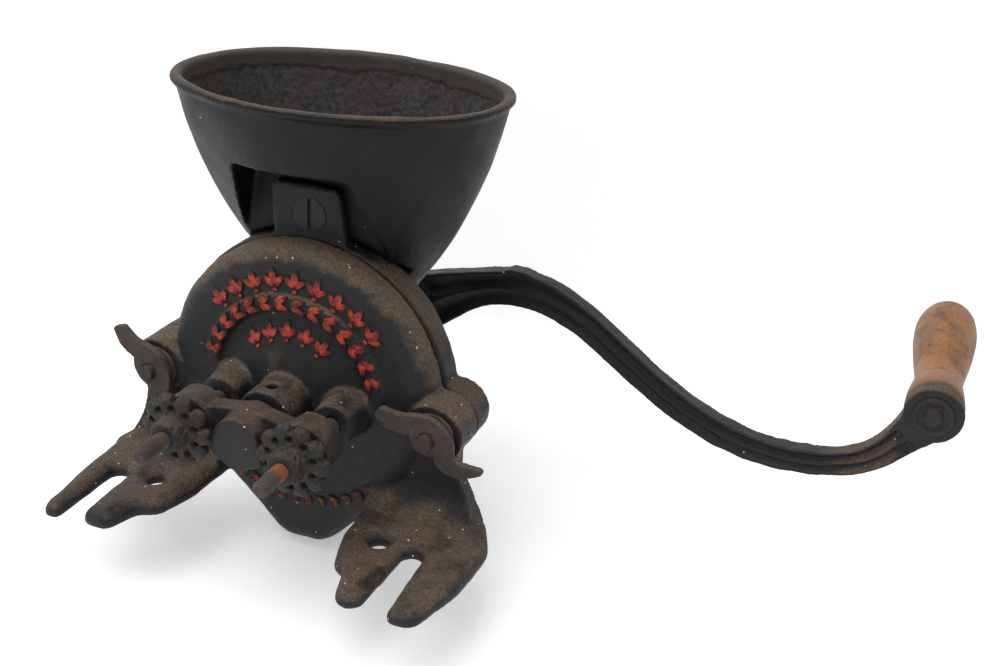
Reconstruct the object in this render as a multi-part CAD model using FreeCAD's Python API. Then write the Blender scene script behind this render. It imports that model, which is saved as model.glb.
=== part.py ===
import FreeCAD, Part
import math
import os

# Hand grain mill for a bench edge: a cast front plate with feet and a cast body stand face to face,
# two toothed burrs grind between them, and a crank with a wooden grip turns the shaft.
# All sizes are millimetres. Everything is drawn about the shaft axis, with y = 0 on the face where the
# two castings meet, the crank towards +Y and the adjusting nuts towards -Y. place() then moves each
# piece so that the origin lies between the two bench holes, on the underside of the feet.

V = FreeCAD.Vector
AXIS_X = V(1, 0, 0)
AXIS_Y = V(0, 1, 0)
AXIS_Z = V(0, 0, 1)
ORIGIN = V(0, 0, 0)

# Clearances
running_gap = 0.05          # radial, a turning shaft in its bore
sliding_gap = 0.08          # radial, the yoke and the hand nuts on their studs
free_gap = 0.3              # between pieces that move past each other
bolt_gap = 0.4              # radial, a bolt through a plain hole

# Shaft
shaft_radius = 9.5
shaft_front = -51.0
shaft_back = 133.0
yoke_travel = 3.0           # how far the burrs can be opened

# Pan of the two castings
pan_radius = 86.0
pan_rise = 4.0              # the round of the pan is centred this far above the shaft
pan_chin = 107.0            # from that centre down to the flat under the pan
pan_corner = 18.0
body_depth = 20.0
body_wall = 7.0
body_rear_wall = 7.0
body_edge_round = 6.0
plate_inset = 1.5           # how much smaller the front plate is than the body
plate_depth = 20.0
plate_wall = 6.5
plate_edge_round = 12.5
band_outer = 57.5
band_inner = 49.0
band_height = 2.5
cone_radius = 47.0          # foot of the shallow cone round the bearing boss
cone_height = 8.0
spout_width = 36.0
spout_depth = 11.0          # how far the meal opening reaches into each casting

# Bearing boss and stud bosses on the front plate
boss_radius = 17.2
boss_front = -51.5
oil_hole_radius = 3.2
oil_hole_y = -42.0
stud_x = 35.5
stud_z = 0.0
stud_radius = 4.6
stud_seat = 12.0            # length screwed into the plate and its boss
stud_front = -114.0
stud_boss_base = 15.0
stud_boss_tip = 12.2
stud_boss_front = -41.0

# Side lugs that hold the castings together
lug_right = 87.2            # distance of each lug from the middle of the mill
lug_left = 91.5
lug_z = -2.0
lug_radius = 17.6
lug_front = -22.0
lug_back = 18.0
lug_root_x = 60.0
lug_root_front = 20.0       # radius of the lug's root on the front plate
lug_root_back = 25.0        # and on the body
bolt_radius = 4.4
bolt_over = 0.7             # how far each bolt ends in front of its loosened wing nut
bolt_head = 15.0            # across the flats of its square head
bolt_head_height = 6.0
spot_face_radius = 11.4     # flat cut for each bolt head behind its lug
washer_radius = 13.0
washer_thick = 1.8
wing_travel = 3.0

# Feet
foot_under = -63.0
foot_thick = 9.5
leg_front = -17.0
leg_thick = 10.0
bend_inside = 18.0
bend_outside = 9.0
foot_edge_round = 3.0
foot_root = -15.0           # where each foot starts, inside its leg
bench_hole_x = 72.0
bench_hole_y = -55.0
bench_hole_radius = 5.0
slot_end_y = -53.2          # closed end of both slots
slot_width = 11.5
slot_end_round = 5.3
slot_right = 93.5           # distance of each slot from the middle of the mill
slot_left = 96.5
# Plan of each foot as (distance outwards, y, corner radius): the outer prong from the root to its slot
# corner, then the inner prong from its slot corner to the root. The left foot's outer prong is narrower.
right_outer_prong = [
    (118.0, foot_root, 0), (128.5, -34.0, 18), (126.5, -72.0, 40), (117.5, -107.5, 10), (101.7, -107.2, 5),
]
right_inner_prong = [
    (85.3, -105.0, 7), (72.5, -106.0, 8), (65.5, -84.5, 4), (57.5, -80.0, 12), (50.0, -54.0, 20),
    (49.5, foot_root, 0),
]
left_outer_prong = [
    (118.0, foot_root, 0), (121.0, -30.0, 18), (117.5, -66.0, 40), (112.3, -104.6, 4.6), (103.1, -105.4, 3.6),
]
left_inner_prong = [
    (88.4, -102.0, 6.5), (72.0, -103.0, 8), (65.0, -83.0, 4), (55.0, -78.0, 12), (48.0, -54.0, 20),
    (47.5, foot_root, 0),
]

# Feed barrel, bearing neck and throat on the body
barrel_radius = 33.0
barrel_bore = 26.0
barrel_back = 70.0
barrel_back_wall = 8.0
neck_radius = 18.0
neck_back = 100.0
throat_y = 41.0
throat_top = 56.0           # flat top that carries the hopper
throat_top_half_x = 48.0
throat_top_half_y = 20.0
throat_low_half_x = 29.5
throat_low_half_y = 24.5
throat_low = 14.0
passage_top_half_x = 34.0
passage_top_half_y = 10.0
passage_low_half_x = 23.0
passage_low_half_y = 18.0
seat_lip_height = 3.0       # lip that stands up inside the hopper's foot

# Hopper
hopper_x = 1.0              # the bowl sits a little towards the crank's grip
hopper_y = 37.0
hopper_rim_half_x = 95.8    # half the oval's width, at the outside of the wall
hopper_rim_half_y = 70.2    # half its depth
hopper_end_radius = 59.0    # radius of the oval's two ends
hopper_rim_z = 167.0
hopper_middle_half_x = 80.8
hopper_middle_z = 114.0
hopper_low_half_x = 47.5
hopper_bead = 2.4
hopper_bead_out = 0.2       # how far the bead's centre lies outside the wall
hopper_lip_rise = 1.4
hopper_wall = 4.0
recess_top = 131.5
recess_half_top = 35.0
recess_half_low = 47.0
recess_low = 74.0
recess_round = 5.0
tab_half_width = 23.0
tab_top_half_width = 21.0
tab_lean = 3.0              # how far the tab's top stands to the left
tab_front = 1.0
tab_thick = 7.0
tab_top = 118.5
tab_round = 5.0
tab_screw_z = 101.8
screw_head_radius = 10.2
screw_head_depth = 4.0
screw_radius = 4.5
screw_slot = 2.2
screw_slot_depth = 1.8

# Burrs
burr_radius = 60.0
burr_thick = 7.0
burr_eye = 27.0
burr_gap = 0.3
furrow_count = 12
furrow_width = 5.0
furrow_depth = 1.8
furrow_slant = 14.0         # how far each furrow misses the shaft axis
burr_screw_count = 3
burr_screw_ring = 40.0
burr_screw_radius = 2.5
burr_screw_head = 4.8
carrier_radius = 50.0
carrier_thick = 7.0
carrier_hub = 17.0
carrier_hub_back = 13.0
drive_pin_radius = 2.5

# Feed worm
worm_front = 18.0
worm_back = 66.0
worm_sleeve = 13.5
worm_radius = 24.0
worm_pitch = 24.0
worm_blade = 5.0

# Adjusting yoke, thrust ball and hand nuts
yoke_back = -55.0
yoke_end_front = -72.0
yoke_end_radius = 15.5
yoke_arm_back = -58.0
yoke_arm_front = -69.0
yoke_arm_radius = 9.0
yoke_hub_radius = 14.0
yoke_hub_front = -80.0
yoke_point = 18.0           # the pad's lower point, below the shaft axis
ball_radius = 4.5
ball_sink = 2.5             # depth of the ball's seat in the yoke
nut_gap = 0.3               # between the yoke's ends and the hand nuts
nut_flange = 11.5
nut_length = 20.0
nut_core_radius = 16.5
nut_lobes = 10
nut_lobe_radius = 4.6
nut_hub_radius = 9.5
nut_dimple_ring = 13.0
nut_dimple_radius = 1.8
nut_dimple_depth = 3.5
nut_thread_pitch = 1.5875

# Wing nuts: one flat band bends over the hub and ends in a broad blade and a pointed one
wing_hub_radius = 10.5
wing_hub_length = 6.5
wing_band_front = 5.8       # from the washer to the band's front face
wing_band_thick = 4.2
wing_start = (-30.0, 11.2, -38.0)     # end of the broad blade from the bolt's middle, and its heading
# The band's middle line from there, as (length,) of a straight or (radius, turn) of a bend
wing_moves = [(24.0, 50.0), (3.5,), (13.0, -50.0), (13.0, -50.0), (9.5, 48.0), (9.5, 48.0), (13.0,)]
wing_widths = [7.5, 11.4, 12.6, 12.8, 13.4, 14.0, 13.8, 13.2, 12.4, 11.8, 11.0, 9.5, 2.4]
wing_tip_round = 2.8
wing_turn_left = 31.0       # the left nut stands turned by this much, clockwise from the front

# Crank: a straight neck, a bend over the crest, a straight run, a wide trough, a bend up to the eye
crank_angle = 25.2          # heading at the hub, degrees above level
crank_neck = 54.7
crest_radius = 76.5
crest_turn = -58.7
crank_run = 72.9
trough_radius = 133.7
trough_turn = 47.0
eye_bend_radius = 55.2
eye_bend_turn = 41.4
eye_neck = 29.0
crank_widths = [38.0, 35.5, 25.4, 22.4, 19.0, 17.6, 17.3, 16.5, 15.0, 15.8, 18.0, 33.6]
crank_front = 114.0
crank_thick = 11.0
crank_hub_radius = 21.0
crank_hub_back = 130.5
crank_eye_radius = 17.0
flute_rim = 3.4
flute_depth = 2.4
flute_rib = 4.4
set_screw_radius = 4.0
set_screw_length = 17.5
set_screw_head = 9.0
set_screw_head_height = 8.0

# Grip
grip_washer_radius = 12.0
grip_washer_thick = 1.5
grip_length = 139.0
grip_base_radius = 13.6
grip_waist_radius = 14.6
grip_belly_radius = 19.6
grip_end_radius = 9.0
grip_bolt_radius = 4.5
rivet_radius = 10.5
rivet_height = 3.5
rivet_sink = 6.0

# Sizes that follow from the ones above
plate_radius = pan_radius - plate_inset
plate_chin = pan_chin - plate_inset
plate_front = -plate_depth
cavity_front = -(plate_depth - plate_wall)
cavity_back = body_depth - body_rear_wall
shaft_bore = shaft_radius + running_gap
fixed_front = cavity_back - burr_thick
runner_back = fixed_front - burr_gap
runner_front = runner_back - burr_thick
carrier_front = runner_front - carrier_thick
foot_top = foot_under + foot_thick
leg_back = leg_front + leg_thick
crank_back = crank_front + crank_thick
crank_hub_front = neck_back + yoke_travel + 1.0
nut_back = yoke_end_front - nut_gap
washer_front = lug_front - washer_thick
bolt_front = washer_front - wing_hub_length - wing_travel - bolt_over
grip_start = crank_back + grip_washer_thick + free_gap
grip_end = grip_start + grip_length
tab_back = tab_front + tab_thick


def path(x, z, degrees, moves):
    """Stations (x, z, heading) along straights and bends. A move is (length,) or (radius, turn)."""
    heading = math.radians(degrees)
    found = [(x, z, heading)]
    for move in moves:
        if len(move) == 1:
            x += move[0] * math.cos(heading)
            z += move[0] * math.sin(heading)
            found.append((x, z, heading))
            continue
        turn = math.radians(move[1]) / 2
        radius = math.copysign(move[0], turn)
        for _ in range(2):
            x += radius * (math.sin(heading + turn) - math.sin(heading))
            z -= radius * (math.cos(heading + turn) - math.cos(heading))
            heading += turn
            found.append((x, z, heading))
    return found


def crank_centre():
    """Stations along the crank's middle line, from inside the hub to the eye."""
    start = crank_hub_radius / 2
    slope = math.radians(crank_angle)
    neck = crank_neck - start
    return path(start * math.cos(slope), start * math.sin(slope), crank_angle, [
        (neck * 0.42,), (neck * 0.58,), (crest_radius, crest_turn), (crank_run / 2,), (crank_run / 2,),
        (trough_radius, trough_turn), (eye_bend_radius, eye_bend_turn), (eye_neck,),
    ])


eye_x, eye_z, eye_heading = crank_centre()[-1]


def rod(radius, y0, y1, x=0.0, z=0.0):
    """Cylinder along Y between two planes."""
    low, high = min(y0, y1), max(y0, y1)
    return Part.makeCylinder(radius, high - low, V(x, low, z), AXIS_Y)


def taper(r0, y0, r1, y1, x=0.0, z=0.0):
    """Cone along Y from radius r0 at y0 to radius r1 at y1."""
    if y1 > y0:
        return Part.makeCone(r0, r1, y1 - y0, V(x, y0, z), AXIS_Y)
    return Part.makeCone(r1, r0, y0 - y1, V(x, y1, z), AXIS_Y)


def block(x0, x1, y0, y1, z0, z1):
    return Part.makeBox(x1 - x0, y1 - y0, z1 - z0, V(x0, y0, z0))


def turned(profile, x=0.0, z=0.0):
    """Solid turned about an axis along Y from (radius, y) points that start and end on the axis."""
    points = [V(x + r, y, z) for r, y in profile]
    face = Part.Face(Part.makePolygon(points + [points[0]]))
    return face.revolve(V(x, 0, z), AXIS_Y, 360)


def rounded_loop(corners, lift):
    """Closed wire through (u, v, radius) corners. lift turns (u, v) into a point in space."""
    count = len(corners)
    edges = []
    ends = []
    for i in range(count):
        u, v, radius = corners[i]
        here = V(u, v, 0)
        back = (V(*corners[i - 1][:2], 0) - here).normalize()
        ahead = (V(*corners[(i + 1) % count][:2], 0) - here).normalize()
        half = back.getAngle(ahead) / 2
        run = radius / math.tan(half)
        middle = (back + ahead).normalize()
        reach = radius / math.sin(half) - radius
        ends.append((here + back * run, here + middle * reach, here + ahead * run))
    for i in range(count):
        start, mid, stop = [lift(p.x, p.y) for p in ends[i]]
        following = lift(ends[(i + 1) % count][0].x, ends[(i + 1) % count][0].y)
        if corners[i][2] > 0:
            edges.append(Part.Arc(start, mid, stop).toShape())
        if (following - stop).Length > 1e-6:
            edges.append(Part.LineSegment(stop, following).toShape())
    return Part.Wire(edges)


def front_view(corners, y0, y1):
    """Prism along Y from corners given as (x, z, radius)."""
    low, high = min(y0, y1), max(y0, y1)
    wire = rounded_loop(corners, lambda u, v: V(u, low, v))
    return Part.Face(wire).extrude(V(0, high - low, 0))


def top_view(corners, z0, z1):
    """Prism along Z from corners given as (x, y, radius)."""
    wire = rounded_loop(corners, lambda u, v: V(u, v, z0))
    return Part.Face(wire).extrude(V(0, 0, z1 - z0))


def side_view(corners, x0, x1):
    """Prism along X from corners given as (y, z, radius)."""
    wire = rounded_loop(corners, lambda u, v: V(x0, u, v))
    return Part.Face(wire).extrude(V(x1 - x0, 0, 0))


def link(x0, z0, r0, x1, z1, r1, y0, y1):
    """Bar along Y whose outline is two circles and their outer tangents."""
    low, high = min(y0, y1), max(y0, y1)
    span = math.hypot(x1 - x0, z1 - z0)
    heading = math.atan2(z1 - z0, x1 - x0)
    lean = math.acos((r0 - r1) / span)

    def at(cx, cz, r, angle):
        return V(cx + r * math.cos(angle), low, cz + r * math.sin(angle))

    a0, a1 = at(x0, z0, r0, heading + lean), at(x1, z1, r1, heading + lean)
    b0, b1 = at(x0, z0, r0, heading - lean), at(x1, z1, r1, heading - lean)
    edges = [
        Part.LineSegment(a0, a1).toShape(),
        Part.Arc(a1, at(x1, z1, r1, heading), b1).toShape(),
        Part.LineSegment(b1, b0).toShape(),
        Part.Arc(b0, at(x0, z0, r0, heading + math.pi), a0).toShape(),
    ]
    return Part.Face(Part.Wire(edges)).extrude(V(0, high - low, 0))


def ribbon(stations, widths, y, depth):
    """Prism along Y whose two sides are smooth curves, with a width at each station of its middle line."""
    sides = []
    for sign in (1, -1):
        points = []
        for (x, z, heading), width in zip(stations, widths):
            out = sign * width / 2
            points.append(V(x - out * math.sin(heading), y, z + out * math.cos(heading)))
        curve = Part.BSplineCurve()
        curve.interpolate(points)
        sides.append((curve.toShape(), points))
    (upper, up), (lower, low) = sides
    wire = Part.Wire(Part.__sortEdges__([
        upper, Part.LineSegment(up[-1], low[-1]).toShape(),
        lower, Part.LineSegment(low[0], up[0]).toShape(),
    ]))
    return Part.Face(wire).extrude(V(0, depth, 0))


def mirrored(shape):
    return shape.mirror(ORIGIN, AXIS_X)


def around(shape, count, first=0.0):
    """Copies of a shape turned evenly about the shaft axis."""
    copies = []
    for i in range(count):
        one = shape.copy()
        one.rotate(ORIGIN, AXIS_Y, first + 360.0 * i / count)
        copies.append(one)
    return copies


def joined(pieces):
    whole = pieces[0]
    if len(pieces) > 1:
        whole = pieces[0].fuse(pieces[1:])
    return whole.removeSplitter()


def place(name, shape):
    """Move a finished piece to the bench frame and write it."""
    piece = shape.copy()
    piece.translate(V(0, -bench_hole_y, -foot_under))
    piece.exportStep("parts/%s.step" % name)


def pan_outline(radius, chin, corner, y):
    """Round pan whose sides run down at 45 degrees to a flat chin with rounded corners."""
    shoulder = radius * math.sqrt(0.5)
    cut = corner * math.tan(math.pi / 8)
    flat_end = radius * math.sqrt(2) - chin
    slope = math.sqrt(0.5)
    under = pan_rise - chin
    right_side = V(flat_end + cut * slope, y, under + cut * slope)
    right_flat = V(flat_end - cut, y, under)
    centre = V(flat_end - cut, y, under + corner)
    turn = math.pi / 8
    right_mid = centre + V(corner * math.sin(turn), 0, -corner * math.cos(turn))

    def over(p):
        return V(-p.x, p.y, p.z)

    top = V(0, y, pan_rise + radius)
    right_shoulder = V(shoulder, y, pan_rise - shoulder)
    edges = [
        Part.Arc(right_shoulder, top, over(right_shoulder)).toShape(),
        Part.LineSegment(over(right_shoulder), over(right_side)).toShape(),
        Part.Arc(over(right_side), over(right_mid), over(right_flat)).toShape(),
        Part.LineSegment(over(right_flat), right_flat).toShape(),
        Part.Arc(right_flat, right_mid, right_side).toShape(),
        Part.LineSegment(right_side, right_shoulder).toShape(),
    ]
    return Part.Wire(edges)


def pan(radius, chin, corner, y0, y1):
    return Part.Face(pan_outline(radius, chin, corner, y0)).extrude(V(0, y1 - y0, 0))


def rim_edges(shape, y):
    """Edges that lie in the plane at y."""
    return [e for e in shape.Edges if all(abs(p.y - y) < 1e-6 for p in e.discretize(5))]


def cavity(y0, y1):
    """Room for the burrs, the same in both castings."""
    return pan(pan_radius - body_wall, pan_chin - body_wall, pan_corner - body_wall, y0, y1)


def spout_cut(y0, y1):
    """Opening through the chin where the meal falls out."""
    half = spout_width / 2
    under = pan_rise - pan_chin
    return block(-half, half, y0, y1, under - 5, under + body_wall + 5)


def lug(x, face, y0, y1, root_radius):
    """Side lug on the right: a round ear that stands out to its face, on a root that runs into the pan."""
    root = link(lug_root_x, lug_z, root_radius, x, lug_z, lug_radius, y0, y1)
    return root.fuse(rod(lug_radius, 0, face, x, lug_z))


def leg_and_foot(outer_prong, inner_prong, slot_x, lug_x):
    """Leg on the right that bends forward into a foot with an open slot between two prongs."""
    bent = side_view([
        (leg_back, 20.0, 0),
        (leg_back, foot_under, bend_outside),
        (leg_front - bend_inside - 4, foot_under, 0),
        (leg_front - bend_inside - 4, foot_top, 0),
        (leg_front, foot_top, bend_inside),
        (leg_front, 20.0, 0),
    ], 30.0, 140.0)
    leg = front_view([
        (lug_x - 12, lug_z + 8, 0),
        (lug_x + lug_radius - 4.5, lug_z - 8, 8),
        (lug_x + 12.8, -27.0, 30),
        (120.0, foot_under - 6, 0),
        (50.0, foot_under - 6, 0),
        (48.0, -46.0, 14),
        (66.0, -18.0, 8),
    ], -60.0, 5.0)
    closed_end = [
        (slot_x + slot_width / 2, slot_end_y, slot_end_round),
        (slot_x - slot_width / 2, slot_end_y, slot_end_round),
    ]
    foot = top_view(outer_prong + closed_end + inner_prong, foot_under, foot_top)
    crown = [e for e in foot.Edges if all(abs(p.z - foot_top) < 1e-6 for p in e.discretize(5))]
    crown = [e for e in crown if e.BoundBox.YMax < leg_front]
    foot = foot.makeFillet(foot_edge_round, crown)
    shape = bent.common(leg).fuse(foot)
    hole = Part.makeCylinder(bench_hole_radius, foot_thick + 12, V(bench_hole_x, bench_hole_y, foot_under - 5))
    return shape.cut(hole)


def front_plate():
    """Front casting: dished plate, bearing boss, stud bosses, lugs, legs and feet."""
    dish = pan(plate_radius, plate_chin, pan_corner, plate_front, 0)
    dish = dish.makeFillet(plate_edge_round, rim_edges(dish, plate_front))
    band = rod(band_outer, plate_front - band_height, plate_front + 1, 0, pan_rise)
    band = band.cut(rod(band_inner, plate_front - band_height - 1, plate_front + 2, 0, pan_rise))
    band = band.common(block(-band_outer, band_outer, plate_front - 5, plate_front + 5, 0, 2 * band_outer))
    cone = taper(cone_radius, plate_front + 0.5, boss_radius + 2, plate_front - cone_height)
    boss = rod(boss_radius, plate_front + 1, boss_front)
    sides = []
    for side in (1, -1):
        sides.append(taper(stud_boss_base, plate_front + 1, stud_boss_tip, stud_boss_front, side * stud_x, stud_z))
    right = leg_and_foot(right_outer_prong, right_inner_prong, slot_right, lug_right)
    left = mirrored(leg_and_foot(left_outer_prong, left_inner_prong, slot_left, lug_left))
    ears = [
        lug(lug_right, lug_front, lug_front + 5, 0, lug_root_front),
        mirrored(lug(lug_left, lug_front, lug_front + 5, 0, lug_root_front)),
    ]
    solid = joined([dish, band, cone, boss, right, left] + ears + sides)
    cuts = [
        cavity(cavity_front, 1),
        spout_cut(-spout_depth, 1),
        rod(shaft_bore, boss_front - 1, 1),
        Part.makeCylinder(oil_hole_radius, boss_radius + 5, V(0, oil_hole_y, shaft_radius - 2)),
    ]
    for side in (1, -1):
        cuts.append(rod(stud_radius, stud_boss_front - 1, stud_boss_front + stud_seat, side * stud_x, stud_z))
    for x in (lug_right, -lug_left):
        cuts.append(rod(bolt_radius + bolt_gap, lug_front - 1, 1, x, lug_z))
    return solid.cut(cuts)


def oval_loft(z0, ax0, ay0, z1, ax1, ay1):
    """Funnel between two ovals that share the throat's centre line."""
    rings = []
    for z, ax, ay in ((z0, ax0, ay0), (z1, ax1, ay1)):
        ring = Part.Ellipse(V(0, throat_y, z), ax, ay)
        rings.append(Part.Wire(ring.toShape()))
    return Part.makeLoft(rings, True, True)


def mill_body():
    """Rear casting: pan, feed barrel, bearing neck, hopper throat, hopper tab and lugs."""
    shell = pan(pan_radius, pan_chin, pan_corner, 0, body_depth)
    shell = shell.makeFillet(body_edge_round, rim_edges(shell, body_depth))
    barrel = rod(barrel_radius, body_depth - 2, barrel_back + barrel_back_wall)
    neck = taper(neck_radius + 3, barrel_back, neck_radius, neck_back)
    throat = oval_loft(
        throat_low, throat_low_half_x, throat_low_half_y,
        throat_top, throat_top_half_x, throat_top_half_y)
    lip = hopper_form(hopper_wall + free_gap, False).cut(hopper_relief(hopper_wall + free_gap))
    lip = lip.common(block(-100, 100, 0, 100, throat_top, throat_top + seat_lip_height))
    tab = front_view([
        (-tab_half_width, pan_rise + pan_radius - 12, 0),
        (tab_half_width, pan_rise + pan_radius - 12, 0),
        (tab_top_half_width - tab_lean, tab_top, tab_round),
        (-tab_top_half_width - tab_lean, tab_top, tab_round),
    ], tab_front, tab_back)
    right_ear = lug(lug_right, lug_back, 0, lug_back - 4, lug_root_back)
    left_ear = mirrored(lug(lug_left, lug_back, 0, lug_back - 4, lug_root_back))
    solid = joined([shell, barrel, neck, throat, lip, tab, right_ear, left_ear])
    passage = oval_loft(
        throat_low, passage_low_half_x, passage_low_half_y,
        throat_top + seat_lip_height + 1, passage_top_half_x, passage_top_half_y)
    cuts = [
        cavity(-1, cavity_back),
        rod(barrel_bore, cavity_back - 1, barrel_back),
        passage,
        spout_cut(-1, spout_depth),
        rod(shaft_bore, barrel_back - 1, neck_back + 1),
        rod(screw_radius, tab_front - 1, tab_back + 1, 0, tab_screw_z),
        taper(screw_head_radius, tab_front, screw_radius, tab_front + screw_head_depth, 0, tab_screw_z),
    ]
    for x in (lug_right, -lug_left):
        cuts.append(rod(bolt_radius + bolt_gap, -1, lug_back + 1, x, lug_z))
        cuts.append(rod(spot_face_radius, lug_back, body_depth + 5, x, lug_z))
    for hole in around(rod(burr_screw_radius, cavity_back - 1, body_depth - 2, burr_screw_ring, 0), burr_screw_count, 90):
        cuts.append(hole)
    return solid.cut(cuts)


def hopper_form(shrink, beaded):
    """Solid oval bowl made of four turned sectors that run into each other. shrink moves the wall in."""
    end_x = hopper_rim_half_x - hopper_end_radius
    side_radius = (end_x ** 2 + hopper_rim_half_y ** 2 - hopper_end_radius ** 2)
    side_radius /= 2 * (hopper_rim_half_y - hopper_end_radius)
    side_y = side_radius - hopper_rim_half_y
    change = math.degrees(math.atan2(side_y, end_x))
    low = throat_top

    def outline(radius):
        def at(x, z):
            return V(radius - hopper_rim_half_x + x - shrink, 0, z)

        foot = at(hopper_low_half_x, low)
        middle = at(hopper_middle_half_x, hopper_middle_z)
        if beaded:
            centre = at(hopper_rim_half_x + hopper_bead_out, hopper_rim_z)
            tuck = math.sqrt(hopper_bead ** 2 - hopper_bead_out ** 2)
            under = centre - V(hopper_bead_out, 0, tuck)
            crown = centre + V(0, 0, hopper_bead)
            top = at(hopper_rim_half_x - hopper_wall, hopper_rim_z + hopper_lip_rise)
            edges = [
                Part.Arc(foot, middle, under).toShape(),
                Part.Arc(under, centre + V(hopper_bead, 0, 0), crown).toShape(),
                Part.LineSegment(crown, top).toShape(),
            ]
        else:
            under = at(hopper_rim_half_x, hopper_rim_z)
            top = under + V(0, 0, 10)
            edges = [Part.Arc(foot, middle, under).toShape(), Part.LineSegment(under, top).toShape()]
        lid = V(0, 0, top.z)
        floor = V(0, 0, low)
        edges += [
            Part.LineSegment(top, lid).toShape(),
            Part.LineSegment(lid, floor).toShape(),
            Part.LineSegment(floor, foot).toShape(),
        ]
        return Part.Face(Part.Wire(edges))

    sectors = []
    for x, y, radius, start, sweep in (
        (end_x, 0, hopper_end_radius, -change, 2 * change),
        (0, -side_y, side_radius, change, 180 - 2 * change),
        (-end_x, 0, hopper_end_radius, 180 - change, 2 * change),
        (0, side_y, side_radius, 180 + change, 180 - 2 * change),
    ):
        face = outline(radius)
        face.rotate(ORIGIN, AXIS_Z, start)
        sector = face.revolve(ORIGIN, AXIS_Z, sweep)
        sector.translate(V(hopper_x + x, hopper_y + y, 0))
        sectors.append(sector)
    return joined(sectors)


def hopper_relief(grow):
    """What the hopper leaves free for the pan and for the tab, grown by a wall thickness."""
    drum = rod(pan_radius + 1.5 + grow, -80, body_depth + 1.5 + grow, 0, pan_rise)
    recess = front_view([
        (-recess_half_low - grow, recess_low, 0),
        (recess_half_low + grow, recess_low, 0),
        (recess_half_top + grow, recess_top + grow, recess_round),
        (-recess_half_top - grow, recess_top + grow, recess_round),
    ], -80, tab_back + grow)
    return drum.fuse(recess)


def hopper():
    """Cast bowl with a beaded rim and a recess in front for the tab of the body."""
    outer = hopper_form(0, True).cut(hopper_relief(0))
    inner = hopper_form(hopper_wall, False).cut(hopper_relief(hopper_wall))
    hole = rod(screw_radius, tab_back - 1, tab_back + hopper_wall + 1, 0, tab_screw_z)
    return outer.cut([inner, hole])


def hopper_screw():
    """Slotted countersunk screw through the tab into the hopper."""
    head = taper(screw_head_radius, tab_front, screw_radius, tab_front + screw_head_depth, 0, tab_screw_z)
    shank = rod(screw_radius, tab_front + 1, tab_back + hopper_wall, 0, tab_screw_z)
    slot = block(-screw_slot / 2, screw_slot / 2, tab_front - 1, tab_front + screw_slot_depth,
                 tab_screw_z - screw_head_radius, tab_screw_z + screw_head_radius)
    return head.fuse(shank).removeSplitter().cut(slot)


def furrows(face_y, into):
    """Slanted grinding furrows cut into a burr face. into is the side the metal lies on."""
    depth = furrow_depth * into
    low, high = min(face_y - into, face_y + depth), max(face_y - into, face_y + depth)
    groove = block(burr_eye - 6, burr_radius + 4, low, high,
                   furrow_slant - furrow_width / 2, furrow_slant + furrow_width / 2)
    return around(groove, furrow_count)


def fixed_burr():
    """Toothed ring held to the body's rear wall."""
    ring = rod(burr_radius, fixed_front, cavity_back).cut(rod(burr_eye, fixed_front - 1, cavity_back + 1))
    holes = around(rod(burr_screw_radius, fixed_front - 1, cavity_back + 1, burr_screw_ring, 0), burr_screw_count, 90)
    sinks = around(taper(burr_screw_head, fixed_front + furrow_depth, burr_screw_radius,
                         fixed_front + furrow_depth + 2.5, burr_screw_ring, 0), burr_screw_count, 90)
    wells = around(rod(burr_screw_head, fixed_front - 1, fixed_front + furrow_depth, burr_screw_ring, 0),
                   burr_screw_count, 90)
    return ring.cut(furrows(fixed_front, 1) + holes + sinks + wells)


def fixed_burr_screws():
    """Countersunk screws below the furrows of the fixed burr."""
    head_y = fixed_front + furrow_depth
    screw = taper(burr_screw_head, head_y, burr_screw_radius, head_y + 2.5, burr_screw_ring, 0)
    screw = screw.fuse(rod(burr_screw_radius, head_y + 2, body_depth - 2, burr_screw_ring, 0)).removeSplitter()
    return Part.makeCompound(around(screw, burr_screw_count, 90))


def runner_burr():
    """Toothed ring that turns with the shaft."""
    ring = rod(burr_radius, runner_front, runner_back).cut(rod(carrier_hub, runner_front - 1, runner_back + 1))
    head_y = runner_back - furrow_depth
    holes = around(rod(burr_screw_radius, runner_front - 1, runner_back + 1, burr_screw_ring, 0), burr_screw_count, 30)
    sinks = around(taper(burr_screw_head, head_y, burr_screw_radius, head_y - 2.5, burr_screw_ring, 0),
                   burr_screw_count, 30)
    wells = around(rod(burr_screw_head, head_y, runner_back + 1, burr_screw_ring, 0), burr_screw_count, 30)
    return ring.cut(furrows(runner_back, -1) + holes + sinks + wells)


def runner_burr_screws():
    head_y = runner_back - furrow_depth
    screw = taper(burr_screw_head, head_y, burr_screw_radius, head_y - 2.5, burr_screw_ring, 0)
    screw = screw.fuse(rod(burr_screw_radius, head_y - 2, carrier_front + 2, burr_screw_ring, 0)).removeSplitter()
    return Part.makeCompound(around(screw, burr_screw_count, 30))


def burr_carrier():
    """Disc and hub that drive the runner burr."""
    disc = rod(carrier_radius, carrier_front, runner_front)
    hub = rod(carrier_hub, carrier_front, carrier_hub_back)
    cuts = [
        rod(shaft_radius, carrier_front - 1, carrier_hub_back + 1),
        Part.makeCylinder(drive_pin_radius, 4 * carrier_hub, V(0, pin_y(), -2 * carrier_hub)),
    ]
    cuts += around(rod(burr_screw_radius, carrier_front + 2, runner_front + 1, burr_screw_ring, 0), burr_screw_count, 30)
    return disc.fuse(hub).removeSplitter().cut(cuts)


def pin_y():
    """Where the drive pin crosses the carrier's hub, behind the runner burr."""
    return (runner_back + carrier_hub_back) / 2


def drive_pin():
    length = 2 * carrier_hub - 1
    return Part.makeCylinder(drive_pin_radius, length, V(0, pin_y(), -length / 2))


def worm_pin_y():
    return worm_back - 5


def worm_pin():
    length = 2 * worm_sleeve - 1
    return Part.makeCylinder(drive_pin_radius, length, V(0, worm_pin_y(), -length / 2))


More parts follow.
